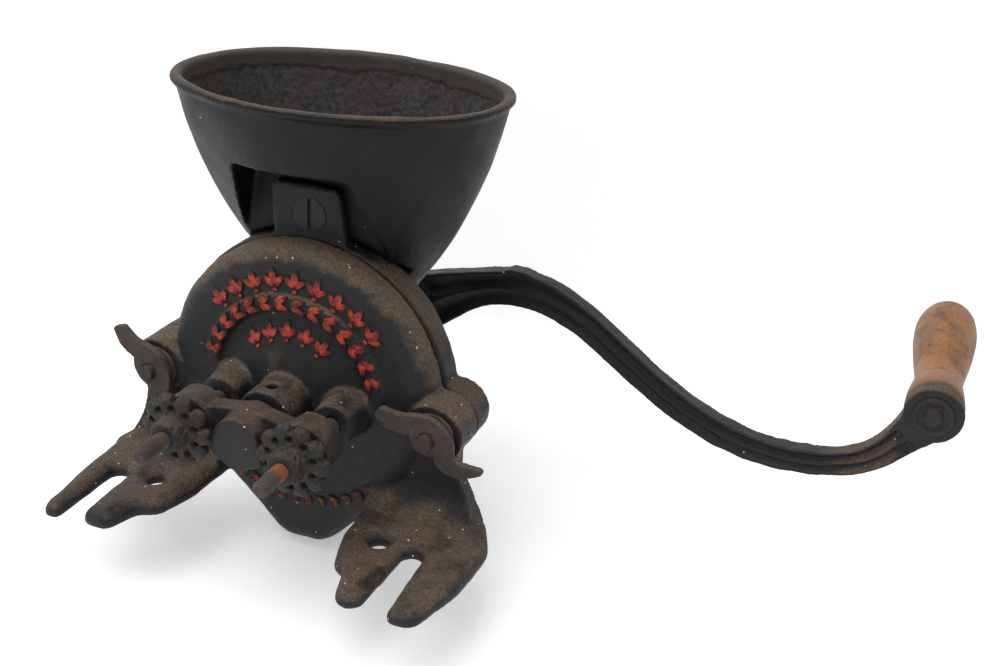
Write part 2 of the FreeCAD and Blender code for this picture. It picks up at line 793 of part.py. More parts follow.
def feed_worm():
    """Sleeve with a helical blade that carries the grain to the burrs."""
    length = worm_back - worm_front
    turns = length / worm_pitch - worm_blade / worm_pitch
    helix = Part.makeHelix(worm_pitch, turns * worm_pitch, worm_sleeve)
    inside = worm_sleeve - 1
    section = Part.makePolygon([
        V(inside, 0, 0),
        V(worm_radius, 0, worm_blade * 0.25),
        V(worm_radius, 0, worm_blade * 0.75),
        V(inside, 0, worm_blade),
        V(inside, 0, 0),
    ])
    blade = Part.Wire(helix).makePipeShell([section], True, True)
    blade.rotate(ORIGIN, AXIS_X, -90)
    blade.translate(V(0, worm_front, 0))
    sleeve = rod(worm_sleeve, worm_front, worm_back)
    pin_hole = Part.makeCylinder(drive_pin_radius, 2 * worm_radius + 4, V(0, worm_pin_y(), -worm_radius - 2))
    return sleeve.fuse(blade).cut([rod(shaft_radius, worm_front - 1, worm_back + 1), pin_hole])


def main_shaft():
    """Shaft from the thrust ball to the crank."""
    body = turned([
        (0, shaft_front), (shaft_radius - 1.5, shaft_front), (shaft_radius, shaft_front + 1.5),
        (shaft_radius, shaft_back - 1.5), (shaft_radius - 1.5, shaft_back), (0, shaft_back),
    ])
    cuts = [
        rod(ball_radius + free_gap, shaft_front - 1, ball_y() + ball_radius + free_gap),
        Part.makeCylinder(drive_pin_radius, 4 * shaft_radius, V(0, pin_y(), -2 * shaft_radius)),
        Part.makeCylinder(drive_pin_radius, 4 * shaft_radius, V(0, worm_pin_y(), -2 * shaft_radius)),
        Part.makeCylinder(set_screw_radius, shaft_radius, V(0, set_screw_y(), shaft_radius - 2)),
    ]
    return body.cut(cuts)


def ball_y():
    """Centre of the thrust ball, seated in the yoke."""
    return yoke_back - ball_sink + ball_radius


def thrust_ball():
    return Part.makeSphere(ball_radius, V(0, ball_y(), 0))


def adjusting_yoke():
    """Cross bar that presses the shaft, with a round end on each stud."""
    pad = front_view([
        (-yoke_hub_radius, 0, 0),
        (-yoke_hub_radius - 1.5, -yoke_point * 0.6, 3),
        (0, -yoke_point, 4),
        (yoke_hub_radius + 1.5, -yoke_point * 0.6, 3),
        (yoke_hub_radius, 0, 0),
    ], yoke_arm_back, yoke_hub_front)
    hub = rod(yoke_hub_radius, yoke_back, yoke_hub_front)
    parts = [hub, pad]
    for side in (1, -1):
        x = side * stud_x
        parts.append(rod(yoke_end_radius, yoke_back, yoke_end_front, x, stud_z))
        parts.append(link(0, 3.0, yoke_hub_radius - 2, x, stud_z, yoke_arm_radius, yoke_arm_back, yoke_arm_front))
    whole = joined(parts)
    cuts = [rod(ball_radius + sliding_gap, yoke_back - ball_sink, yoke_back + 1)]
    for side in (1, -1):
        cuts.append(rod(stud_radius + sliding_gap, yoke_end_front - 1, yoke_back + 1, side * stud_x, stud_z))
    return whole.cut(cuts)


def adjusting_stud():
    """Right-hand stud screwed into its boss."""
    return turned([
        (0, stud_boss_front + stud_seat), (stud_radius, stud_boss_front + stud_seat),
        (stud_radius, stud_front + 1.5), (stud_radius - 1.5, stud_front), (0, stud_front),
    ], stud_x, stud_z)


def hand_nut():
    """Cast finger nut with a lobed rim and a ring of blind dimples, drawn on the right stud."""
    front = nut_back - nut_flange
    tip = nut_back - nut_length
    rim_y0, rim_y1 = nut_back, front
    core = rod(nut_core_radius, rim_y0, rim_y1, stud_x, stud_z)
    hub = taper(nut_hub_radius + 1, front + 1, nut_hub_radius, tip, stud_x, stud_z)
    lobes = []
    dimples = []
    for i in range(nut_lobes):
        angle = 2 * math.pi * i / nut_lobes
        x = stud_x + nut_core_radius * math.cos(angle)
        z = stud_z + nut_core_radius * math.sin(angle)
        lobes.append(rod(nut_lobe_radius, rim_y0, rim_y1, x, z))
        between = angle + math.pi / nut_lobes
        x = stud_x + nut_dimple_ring * math.cos(between)
        z = stud_z + nut_dimple_ring * math.sin(between)
        dimples.append(rod(nut_dimple_radius, front - 1, front + nut_dimple_depth, x, z))
    bore = rod(stud_radius + sliding_gap, tip - 1, nut_back + 1, stud_x, stud_z)
    return joined([core, hub] + lobes).cut([bore] + dimples)


def wing_nut(x, turn):
    """Cast wing nut: a hub and a flat band that curls over it from a broad blade to a pointed one."""
    tip = washer_front - wing_hub_length
    hub = taper(wing_hub_radius, washer_front, wing_hub_radius - 1.5, tip)
    band = ribbon(path(*wing_start, wing_moves), wing_widths, washer_front - wing_band_front, wing_band_thick)
    corners = [e for e in band.Edges if e.BoundBox.XLength + e.BoundBox.ZLength < 1e-6 and e.BoundBox.XMax < -20]
    band = band.makeFillet(wing_tip_round, corners)
    nut = joined([hub, band]).cut(rod(bolt_radius + sliding_gap, tip - 1, washer_front + 1))
    nut.rotate(ORIGIN, AXIS_Y, turn)
    nut.translate(V(x, 0, lug_z))
    return nut


def lug_washer(x):
    ring = rod(washer_radius, washer_front, lug_front, x, lug_z)
    return ring.cut(rod(bolt_radius + sliding_gap, washer_front - 1, lug_front + 1, x, lug_z))


def lug_bolts():
    """Two square-headed bolts through the lugs."""
    bolts = []
    half = bolt_head / 2
    for x in (lug_right, -lug_left):
        head = block(x - half, x + half, lug_back, lug_back + bolt_head_height, lug_z - half, lug_z + half)
        head = head.common(taper(bolt_head, lug_back, bolt_head * 0.62, lug_back + bolt_head_height, x, lug_z))
        shank = rod(bolt_radius, bolt_front, lug_back + 1, x, lug_z)
        bolts.append(head.fuse(shank).removeSplitter())
    return Part.makeCompound(bolts)


def set_screw_y():
    return (crank_hub_front + crank_hub_back) / 2


def crank_arm():
    """Cast S-shaped crank, fluted on both faces, with a hub and an eye."""
    middle = crank_centre()
    arm = ribbon(middle, crank_widths, crank_front, crank_thick)
    hub = rod(crank_hub_radius, crank_hub_front, crank_hub_back)
    eye = rod(crank_eye_radius, crank_front, crank_back, eye_x, eye_z)
    ends = [
        rod(crank_hub_radius + 5, crank_front - 1, crank_back + 1),
        rod(crank_eye_radius + 5, crank_front - 1, crank_back + 1, eye_x, eye_z),
    ]
    flutes = []
    for y0 in (crank_front - 1, crank_back - flute_depth):
        depth = flute_depth + 1
        groove = ribbon(middle, [w - 2 * flute_rim for w in crank_widths], y0, depth)
        rib = ribbon(middle, [flute_rib + 2.0 * (1 - i / len(middle)) for i in range(len(middle))], y0, depth)
        flutes.append(groove.cut([rib] + ends))
    whole = joined([arm, hub, eye]).cut(flutes)
    cuts = [
        rod(shaft_radius, crank_hub_front - 1, crank_hub_back + 1),
        rod(grip_bolt_radius, crank_front - 1, crank_back + 1, eye_x, eye_z),
        Part.makeCylinder(set_screw_radius, crank_hub_radius + 5, V(0, set_screw_y(), shaft_radius - 2)),
    ]
    return whole.cut(cuts)


def crank_set_screw():
    """Square-headed screw that holds the crank on the shaft."""
    foot = shaft_radius - 2
    shank = Part.makeCylinder(set_screw_radius, set_screw_length, V(0, set_screw_y(), foot))
    half = set_screw_head / 2
    top = foot + set_screw_length
    head = block(-half, half, set_screw_y() - half, set_screw_y() + half, top, top + set_screw_head_height)
    return shank.fuse(head).removeSplitter()


def grip():
    """Turned wooden grip, slim at the crank and full near its rounded end."""
    curve = Part.BSplineCurve()
    curve.interpolate([
        V(eye_x + grip_waist_radius - 0.6, grip_start + 12, eye_z),
        V(eye_x + grip_waist_radius, grip_start + 30, eye_z),
        V(eye_x + grip_belly_radius - 1.2, grip_start + grip_length * 0.55, eye_z),
        V(eye_x + grip_belly_radius, grip_start + grip_length * 0.76, eye_z),
        V(eye_x + grip_belly_radius - 2.6, grip_start + grip_length * 0.91, eye_z),
        V(eye_x + grip_end_radius, grip_end, eye_z),
    ])
    side = curve.toShape()
    base = V(eye_x + grip_base_radius, grip_start, eye_z)
    foot = V(eye_x, grip_start, eye_z)
    tip = V(eye_x, grip_end, eye_z)
    outline = Part.Wire([
        Part.LineSegment(foot, base).toShape(),
        Part.LineSegment(base, side.Vertexes[0].Point).toShape(),
        side,
        Part.LineSegment(side.Vertexes[-1].Point, tip).toShape(),
        Part.LineSegment(tip, foot).toShape(),
    ])
    wood = Part.Face(outline).revolve(V(eye_x, 0, eye_z), AXIS_Y, 360)
    bore = rod(grip_bolt_radius + sliding_gap, grip_start - 1, grip_end + 1, eye_x, eye_z)
    sink = rod(rivet_radius * 0.75, grip_end - rivet_sink, grip_end + 1, eye_x, eye_z)
    return wood.cut([bore, sink])


def grip_bolt():
    """Rod through the eye and the grip, with a domed head on the crank's front face."""
    far = grip_end - rivet_sink + free_gap
    return turned([
        (0, crank_front - rivet_height), (rivet_radius * 0.55, crank_front - rivet_height),
        (rivet_radius, crank_front - rivet_height * 0.35), (rivet_radius, crank_front),
        (grip_bolt_radius, crank_front), (grip_bolt_radius, far), (rivet_radius * 0.62, far),
        (rivet_radius * 0.62, far + 1.5), (rivet_radius * 0.35, far + 3), (0, far + 3),
    ], eye_x, eye_z)


def grip_washer():
    ring = rod(grip_washer_radius, crank_back, crank_back + grip_washer_thick, eye_x, eye_z)
    return ring.cut(rod(grip_bolt_radius, crank_back - 1, crank_back + 5, eye_x, eye_z))


os.makedirs("parts", exist_ok=True)
place("front_plate", front_plate())
place("mill_body", mill_body())
place("hopper", hopper())
place("hopper_screw", hopper_screw())
place("fixed_burr", fixed_burr())
place("fixed_burr_screws", fixed_burr_screws())
place("runner_burr", runner_burr())
place("runner_burr_screws", runner_burr_screws())
place("burr_carrier", burr_carrier())
place("drive_pin", drive_pin())
place("feed_worm", feed_worm())
place("worm_pin", worm_pin())
place("main_shaft", main_shaft())
place("thrust_ball", thrust_ball())
place("adjusting_yoke", adjusting_yoke())
place("adjusting_stud_right", adjusting_stud())
place("adjusting_stud_left", mirrored(adjusting_stud()))
place("hand_nut_right", hand_nut())
place("hand_nut_left", mirrored(hand_nut()))
place("lug_bolts", lug_bolts())
place("lug_washer_right", lug_washer(lug_right))
place("lug_washer_left", lug_washer(-lug_left))
place("wing_nut_right", wing_nut(lug_right, 0))
place("wing_nut_left", wing_nut(-lug_left, wing_turn_left))
place("crank_arm", crank_arm())
place("crank_set_screw", crank_set_screw())
place("grip_washer", grip_washer())
place("grip", grip())
place("grip_bolt", grip_bolt())
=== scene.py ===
import math

import bmesh
import bpy
import numpy as np
from mathutils import Matrix, Vector


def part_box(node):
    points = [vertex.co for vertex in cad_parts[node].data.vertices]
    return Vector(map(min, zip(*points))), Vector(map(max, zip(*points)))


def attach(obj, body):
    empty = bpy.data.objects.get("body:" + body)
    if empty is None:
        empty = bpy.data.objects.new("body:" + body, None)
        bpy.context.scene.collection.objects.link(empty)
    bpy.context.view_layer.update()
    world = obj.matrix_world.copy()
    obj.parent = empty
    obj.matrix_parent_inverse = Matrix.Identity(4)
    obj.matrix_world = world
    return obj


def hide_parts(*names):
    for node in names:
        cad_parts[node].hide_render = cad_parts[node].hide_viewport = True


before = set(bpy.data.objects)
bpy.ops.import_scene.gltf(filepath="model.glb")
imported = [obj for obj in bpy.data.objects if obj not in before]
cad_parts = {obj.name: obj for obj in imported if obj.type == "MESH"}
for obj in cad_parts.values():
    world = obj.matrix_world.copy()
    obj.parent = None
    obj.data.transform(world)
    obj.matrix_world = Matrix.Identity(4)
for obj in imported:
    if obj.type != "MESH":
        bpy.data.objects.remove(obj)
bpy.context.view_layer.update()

# Front plate of the mill: a dished iron casting with the bearing boss, two stud bosses, lugs, legs and
# feet. It was poured in sand and lacquered black; brown dust and rust now lie on its upward faces. All the
# castings are made from their solids in the same way, so the helpers for them are here.


def unit_waves(points, length, seed):
    """Smooth unevenness between about -1 and 1 at points.

    It is the sum of fourteen sine waves of the given length that run in random directions with random
    phases, divided by the root of half their number times 1.6.
    """
    draw = np.random.default_rng(seed)
    heading = draw.normal(size=(3, 14))
    heading /= np.linalg.norm(heading, axis=0)
    heading *= 2 * math.pi / length * draw.uniform(0.7, 1.4, 14)
    phase = draw.uniform(0, 2 * math.pi, 14)
    return np.sin(points @ heading + phase).sum(1) / (1.6 * math.sqrt(7))


def coordinates(mesh):
    """Every point of a mesh as an array of rows."""
    found = np.empty(len(mesh.vertices) * 3)
    mesh.vertices.foreach_get("co", found)
    return found.reshape(-1, 3)


def place_points(mesh, points):
    """Put every point of a mesh at its row of the array."""
    mesh.vertices.foreach_set("co", points.ravel())
    mesh.update()


def point_normals(mesh):
    """Direction of the surface at every point of a mesh."""
    found = np.empty(len(mesh.vertices) * 3, np.float32)
    mesh.vertex_normals.foreach_get("vector", found)
    return found.reshape(-1, 3)


def read_values(mesh, name):
    """The number that a mesh holds at every point under a name."""
    found = np.empty(len(mesh.vertices), np.float32)
    mesh.attributes[name].data.foreach_get("value", found)
    return found


def write_values(mesh, name, values):
    """Make a mesh hold a number at every point under a name, for its material to read."""
    held = mesh.attributes.get(name) or mesh.attributes.new(name, "FLOAT", "POINT")
    held.data.foreach_set("value", values.astype(np.float32).ravel())


def falling(values, end, length):
    """1 up to end minus length, 0 from end on, straight between."""
    return np.clip((end - values) / length, 0, 1)


def neighbour_mean(values, pairs):
    """Mean of each point's neighbours: the sum over both ends of all edges, by how many meet there."""
    count = len(values)
    degree = np.bincount(pairs.ravel(), minlength=count)
    mean = np.empty_like(values)
    for axis in range(values.shape[1]):
        total = np.bincount(pairs[:, 0], values[pairs[:, 1], axis], count)
        total += np.bincount(pairs[:, 1], values[pairs[:, 0], axis], count)
        mean[:, axis] = total / degree
    return mean


def show(name, data):
    """Object that holds the data, put into the scene."""
    made = bpy.data.objects.new(name, data)
    bpy.context.scene.collection.objects.link(made)
    return made


def finish_mesh(name, mesh, body, nodes):
    """Object for a finished mesh, smooth shaded, riding on its body in place of the given nodes."""
    mesh.name = name
    mesh.polygons.foreach_set("use_smooth", np.ones(len(mesh.polygons), bool))
    mesh.materials.clear()
    piece = show(name, mesh)
    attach(piece, body)
    if nodes:
        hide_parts(*nodes)
    return piece


def casting(name, node, body, cell, rounds, lump, wave, seed, soft=None, added=None):
    """Rounded copy of a node's solid, as sand casting leaves it.

    The welded copy is filled with an even grid of the given cell. In each round every point moves 0.55 of
    the way to its neighbours' mean and then 0.57 of the way back, which rounds edges and keeps the size.
    Then each point moves along its normal by lump times waves of two lengths, and stays within the node's
    own box. The attribute edge holds how far a point stands out from its surroundings: above 0 on ridges,
    below 0 in hollows. soft is a share from 0 to 1, or a function that gives one for each point. Where it
    is 1 the edges are rounded off further: each point goes halfway to its neighbours' mean eighteen times,
    and the slow part of that shrinking is given back. added is a closed mesh that is cast in one with the
    solid.
    """
    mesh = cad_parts[node].data.copy()
    welded = bmesh.new()
    welded.from_mesh(mesh)
    bmesh.ops.remove_doubles(welded, verts=welded.verts, dist=2e-6)
    if added:
        welded.from_mesh(added)
    welded.to_mesh(mesh)
    welded.free()
    rough = show(name + "_rough", mesh)
    grid = rough.modifiers.new("even grid", "REMESH")
    grid.mode = "VOXEL"
    grid.voxel_size = cell
    shown = rough.evaluated_get(bpy.context.evaluated_depsgraph_get())
    even = bpy.data.meshes.new_from_object(shown)
    bpy.data.objects.remove(rough)

    points = coordinates(even)
    pairs = np.empty(len(even.edges) * 2, np.int32)
    even.edges.foreach_get("vertices", pairs)
    pairs = pairs.reshape(-1, 2)
    pull_in, push_out = 0.55, 0.57
    for _ in range(rounds):
        points += pull_in * (neighbour_mean(points, pairs) - points)
        points -= push_out * (neighbour_mean(points, pairs) - points)
    if soft:
        share = soft(points)[:, None] if callable(soft) else soft
        before = points.copy()
        for _ in range(18):
            points += 0.5 * share * (neighbour_mean(points, pairs) - points)
        shrunk = before - points
        for _ in range(10):
            shrunk = neighbour_mean(shrunk, pairs)
        points += shrunk
    place_points(even, points)
    normals = point_normals(even)
    stand = ((points - neighbour_mean(points, pairs)) * normals).sum(1, keepdims=True) / cell
    for _ in range(3):
        stand = 0.5 * stand + 0.5 * neighbour_mean(stand, pairs)
    bumps = lump * (0.7 * unit_waves(points, wave, seed) + 0.3 * unit_waves(points, wave / 3, seed + 1))
    points += normals * bumps[:, None]
    place_points(even, np.clip(points, *np.array(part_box(node))))
    write_values(even, "edge", np.clip(stand * 6, -1, 1))
    return finish_mesh(name, even, body, [node])


def colour(red, green, blue):
    """Linear colour from the usual 0 to 255 values."""
    parts = [part / 255 for part in (red, green, blue)]
    parts = [p / 12.92 if p <= 0.04045 else ((p + 0.055) / 1.055) ** 2.4 for p in parts]
    return (*parts, 1.0)


def feed(tree, entry, value):
    """Link another node's output to a socket, or set the socket to a plain value."""
    if isinstance(value, bpy.types.NodeSocket):
        tree.links.new(value, entry)
    else:
        entry.default_value = value


def wire(tree, node, **sockets):
    """Feed a node's sockets by name, with _ for each space in the name."""
    for key, value in sockets.items():
        feed(tree, node.inputs[key.replace("_", " ")], value)
    return node


def add(tree, kind, settings=None, **sockets):
    """One new shader node."""
    made = tree.nodes.new("ShaderNode" + kind)
    for key, value in (settings or {}).items():
        setattr(made, key, value)
    return wire(tree, made, **sockets)


def calc(tree, operation, first, second=0.0):
    """Output of a Math node."""
    made = add(tree, "Math", {"operation": operation})
    feed(tree, made.inputs[0], first)
    feed(tree, made.inputs[1], second)
    return made.outputs[0]


def plus(tree, first, second):
    """Output of an adding node."""
    return calc(tree, "ADD", first, second)


def minus(tree, first, second):
    """Output of a subtracting node."""
    return calc(tree, "SUBTRACT", first, second)


def times(tree, first, second):
    """Output of a multiplying node."""
    return calc(tree, "MULTIPLY", first, second)


def rise(tree, value, low, high):
    """0 below low, 1 above high, smooth between."""
    smooth = {"interpolation_type": "SMOOTHSTEP"}
    return add(tree, "MapRange", smooth, Value=value, From_Min=low, From_Max=high).outputs["Result"]


def tint(tree, mask, under, over):
    """Colour that goes from under to over with the mask. These are a Mix node's sockets 6, 7 and 0."""
    made = add(tree, "Mix", {"data_type": "RGBA"})
    for number, value in ((0, mask), (6, under), (7, over)):
        feed(tree, made.inputs[number], value)
    return made.outputs[2]


def level(tree, mask, under, over):
    """Number that goes from under to over with the mask."""
    return add(tree, "MapRange", Value=mask, To_Min=under, To_Max=over).outputs["Result"]


def noise(tree, place, scale, detail=3.0, roughness=0.55):
    """Cloudy noise between 0 and 1, with scale waves to the metre."""
    made = add(tree, "TexNoise", Vector=place, Scale=scale, Detail=detail, Roughness=roughness)
    return made.outputs["Fac"]


def split_xyz(tree, source="Object"):
    """X, Y and Z of each point's place in metres, or of the surface's direction there if source is Normal."""
    return add(tree, "SeparateXYZ", Vector=add(tree, "TexCoord").outputs[source]).outputs


def point_value(tree, name):
    """The number that the mesh holds at each point under a name."""
    return add(tree, "Attribute", {"attribute_name": name}).outputs["Fac"]


def bump(tree, strength, distance, height, **sockets):
    """Normal that shows a height, with 1 standing for the distance in metres."""
    made = add(tree, "Bump", Strength=strength, Distance=distance, Height=height, **sockets)
    return made.outputs["Normal"]


def new_group(name, inputs, outputs):
    """Empty shader node group with named float inputs and outputs."""
    tree = bpy.data.node_groups.new(name, "ShaderNodeTree")
    for key, value in inputs.items():
        socket = tree.interface.new_socket(key, in_out="INPUT", socket_type="NodeSocketFloat")
        socket.default_value = value
    for key in outputs:
        tree.interface.new_socket(key, in_out="OUTPUT", socket_type="NodeSocketFloat")
    start = tree.nodes.new("NodeGroupInput")
    end = tree.nodes.new("NodeGroupOutput")
    place = add(tree, "TexCoord").outputs["Object"]
    return tree, start.outputs, end.inputs, place


def use_group(tree, group, **sockets):
    """Outputs of a node group that is placed in a tree."""
    return add(tree, "Group", {"node_tree": group}, **sockets).outputs


# Sand grain: coarse and fine noise with round pits, a crust of fine patches and a slow change of shade.
tree, given, wanted, place = new_group(
    "sand grain", {"Size": 0.002, "Pits": 0.3}, ["Height", "Crust", "Mottle"])
pitch = calc(tree, "DIVIDE", 1.0, given["Size"])
coarse = noise(tree, place, pitch, 5.0, 0.62)
fine = noise(tree, place, times(tree, pitch, 3.1), 3.0, 0.6)
cells = add(tree, "TexVoronoi", Vector=place, Scale=times(tree, pitch, 0.7))
pit = minus(tree, 1.0, rise(tree, cells.outputs["Distance"], 0.1, 0.34))
deep = add(tree, "SeparateColor", Color=cells.outputs["Color"]).outputs["Green"]
pit = times(tree, times(tree, pit, rise(tree, deep, 0.45, 0.9)), given["Pits"])
height = plus(tree, times(tree, coarse, 0.7), times(tree, fine, 0.3))
feed(tree, wanted["Height"], minus(tree, height, pit))
crust = noise(tree, place, times(tree, pitch, 1.3), 6.0, 0.75)
feed(tree, wanted["Crust"], rise(tree, crust, 0.34, 0.66))
slow = noise(tree, place, times(tree, pitch, 0.08), 6.0, 0.65)
feed(tree, wanted["Mottle"], rise(tree, slow, 0.34, 0.66))
sand_grain = tree

# Settled dust: lies on faces that look up, in broken patches, and more of it in the hollows.
tree, given, wanted, place = new_group("settled dust", {"Amount": 0.5, "Patch": 0.03}, ["Mask"])
facing = split_xyz(tree, "Normal")["Z"]
upward = rise(tree, facing, -0.15, 0.8)
patches = noise(tree, place, calc(tree, "DIVIDE", 1.0, given["Patch"]), 8.0, 0.7)
patches = times(tree, minus(tree, patches, 0.5), 2.2)
hollow = point_value(tree, "edge")
hollow = times(tree, calc(tree, "MINIMUM", hollow, 0.0), -0.35)
total = plus(tree, plus(tree, upward, patches), hollow)
total = plus(tree, total, given["Amount"])
feed(tree, wanted["Mask"], rise(tree, total, 0.8, 1.5))
settled_dust = tree

# Worn edge: ridges rubbed through to the iron, broken up by noise.
tree, given, wanted, place = new_group("worn edge", {"Amount": 0.5}, ["Mask"])
ridge = point_value(tree, "edge")
broken = times(tree, minus(tree, noise(tree, place, 220.0, 6.0, 0.72), 0.5), 1.6)
total = plus(tree, plus(tree, ridge, broken), given["Amount"])
feed(tree, wanted["Mask"], rise(tree, total, 0.75, 1.3))
worn_edge = tree

# Rust bloom: brown patches whose outline is broken by finer noise.
tree, given, wanted, place = new_group("rust bloom", {"Amount": 0.5, "Patch": 0.02}, ["Mask"])
blots = noise(tree, place, calc(tree, "DIVIDE", 1.0, given["Patch"]), 8.0, 0.72)
total = plus(tree, blots, times(tree, given["Amount"], 0.5))
feed(tree, wanted["Mask"], rise(tree, total, 0.66, 0.86))
rust_bloom = tree

# Lint: a few pale specks that lie on the upward faces.
tree, given, wanted, place = new_group("lint", {"Share": 0.1}, ["Mask"])
dots = add(tree, "TexVoronoi", Vector=place, Scale=165.0)
near = minus(tree, 1.0, rise(tree, dots.outputs["Distance"], 0.065, 0.1))
pick = add(tree, "SeparateColor", Color=dots.outputs["Color"]).outputs["Red"]
facing = split_xyz(tree, "Normal")["Z"]
share = times(tree, given["Share"], level(tree, rise(tree, facing, 0.0, 0.8), 0.3, 1.0))
feed(tree, wanted["Mask"], times(tree, near, calc(tree, "LESS_THAN", pick, share)))
lint = tree


def new_material(name):
    """Empty material, with its node tree and its main shader."""
    material = bpy.data.materials.new(name)
    material.use_nodes = True
    tree = material.node_tree
    tree.nodes.clear()
    shader = add(tree, "BsdfPrincipled")
    add(tree, "OutputMaterial", Surface=shader.outputs[0])
    return material, tree, shader


def iron(name, lacquer, rough=0.5, grain=0.002, relief=0.0005, pits=0.3, crust=0.35, dust=0.0,
         dusty=(104, 86, 70), rust=0.0, rusty=(122, 80, 50), patch=0.02, worn=0.0, bare=(118, 112, 106),
         specks=0.0, slow=0.3, shine=0.3, dust_on=None):
    """Old lacquered iron.

    The colours are laid over each other: lacquer, crust, rust, dust, worn ridges and pale lint. dust_on is
    a function that gives a further value for the amount of dust at each place.
    """
    material, tree, shader = new_material(name)
    sand = use_group(tree, sand_grain, Size=grain, Pits=pits)
    dark, light, crusty = (
        tuple(part * factor + lift for part in colour(*lacquer)[:3]) + (1.0,)
        for factor, lift in ((1 - slow, 0.0), (1 + slow, 0.0), (1.9, 0.002)))
    look = tint(tree, sand["Mottle"], dark, light)
    look = tint(tree, times(tree, sand["Crust"], crust), look, crusty)
    rusted = use_group(tree, rust_bloom, Amount=rust, Patch=patch)["Mask"]
    look = tint(tree, times(tree, rusted, min(1.0, 1.6 * rust)), look, colour(*rusty))
    amount = dust
    if dust_on:
        amount = plus(tree, dust_on(tree), dust)
    dusted = use_group(tree, settled_dust, Amount=amount, Patch=patch * 1.6)["Mask"]
    dusted = times(tree, dusted, level(tree, sand["Crust"], 0.55, 0.95))
    dim = colour(*(part * 0.78 for part in dusty))
    look = tint(tree, dusted, look, tint(tree, sand["Crust"], dim, colour(*dusty)))
    rubbed = use_group(tree, worn_edge, Amount=worn)["Mask"]
    look = tint(tree, times(tree, rubbed, 0.6), look, colour(*bare))
    lying = use_group(tree, lint, Share=specks)["Mask"]
    look = tint(tree, lying, look, colour(214, 208, 198))
    gloss = level(tree, sand["Mottle"], rough - 0.06, rough + 0.08)
    gloss = plus(tree, gloss, times(tree, calc(tree, "MAXIMUM", dusted, rusted), 0.3))
    gloss = minus(tree, gloss, times(tree, rubbed, 0.12))
    wire(tree, shader, Base_Color=look, Roughness=gloss, Specular_IOR_Level=shine,
         Normal=bump(tree, 1.0, relief, sand["Height"]))
    return material


# Heights of the shaft's line and of the round pan's middle.
shaft_z = 0.063
pan_centre_z = 0.067


def round_ring(tree, low, high, amount):
    """Up to amount where the distance from the axis of the pan goes from low to high."""
    place = split_xyz(tree)
    above = minus(tree, place["Z"], pan_centre_z)
    square = plus(tree, calc(tree, "POWER", calc(tree, "ABSOLUTE", place["X"]), 2.0),
                  calc(tree, "POWER", calc(tree, "ABSOLUTE", above), 2.0))
    far = rise(tree, calc(tree, "SQRT", square), low, high)
    return times(tree, times(tree, far, rise(tree, above, -0.05, 0.02)), amount)


def soft_feet(points):
    """1 on the feet, a half on the fronts of the bosses, 0 elsewhere on the plate."""
    feet = falling(points[:, 2], 0.016, 0.006) * falling(points[:, 1], 0.030, 0.008)
    bosses = falling(points[:, 1], 0.026, 0.004) * (np.abs(points[:, 2] - shaft_z) < 0.03) * 0.5
    return np.maximum(feet, bosses)


plate = casting("cast_front_plate", "front_plate", "frame", 0.0012, 9, 0.00035, 0.03, 11, soft=soft_feet)
plate.data.materials.append(iron(
    "plate black", (30, 29, 30), rough=0.52, grain=0.0021, relief=0.0009, crust=0.6, dust=0.27,
    dusty=(116, 98, 79), rust=0.12, worn=0.1, specks=0.6, patch=0.016,
    dust_on=lambda tree: round_ring(tree, 0.072, 0.09, 0.62)))

# The feet are domed towards their outlines, as if cast in a shallow hollow: within dome_reach of the
# outline the height above the underside falls by up to dome_share, with the square of the nearness. Beside
# the right slot a screw head has worn a long scoop into the top, whose rim is rubbed bright.
foot_top_z, foot_back_y, wall_low_z, wall_high_z = 0.0125, 0.031, 0.002, 0.0062
dome_reach, dome_share = 0.0075, 0.42
scoop_from, scoop_to = np.array([0.0826, -0.0375]), np.array([0.0850, -0.0225])
scoop_half, scoop_deep = 0.0033, 0.0042
at = coordinates(plate.data)
on_foot = (at[:, 2] < foot_top_z) & (at[:, 1] < foot_back_y)
steep = np.abs(point_normals(plate.data)[:, 2]) < 0.4
wall = on_foot & steep & (at[:, 2] > wall_low_z) & (at[:, 2] < wall_high_z)
outline_points = at[wall][::3, :2]
feet = np.flatnonzero(on_foot)
nearness = np.concatenate([
    np.sqrt(((at[part, None, :2] - outline_points[None]) ** 2).sum(2).min(1))
    for part in np.array_split(feet, 40)])
nearness = np.clip(1 - nearness / dome_reach, 0, 1) * falling(at[feet, 1], 0.029, 0.006)
at[feet, 2] *= 1 - dome_share * nearness ** 2
along = scoop_to - scoop_from
share = np.clip(((at[feet, :2] - scoop_from) @ along) / (along @ along), 0, 1)
beside = np.linalg.norm(at[feet, :2] - scoop_from - share[:, None] * along, axis=1) / scoop_half
top_side = at[feet, 2] > 0.004
at[feet, 2] -= np.where(top_side, scoop_deep * np.sqrt(np.maximum(1 - beside ** 2, 0)), 0)
place_points(plate.data, at)
edge = read_values(plate.data, "edge")
edge[feet] = np.where(top_side & (beside < 0.95), 0.0, np.where(top_side & (beside < 1.3), 0.9, edge[feet]))
write_values(plate.data, "edge", edge)

# Raised red ornament on the front plate: rows of cast leaves that follow the round of the pan, picked out
# in red paint that has worn from their edges, with painted shade in a darker red on their low flanks. They
# are part of the casting and stand a little over 1 mm proud.
plate_face_y = 0.035
band_inner, band_outer, band_height = 0.049, 0.0575, 0.0025
cone_radius, cone_top_radius, cone_height, cone_sunk = 0.047, 0.0192, 0.0085, 0.0005
leaf_proud, leaf_sink = 0.0013, 0.0006


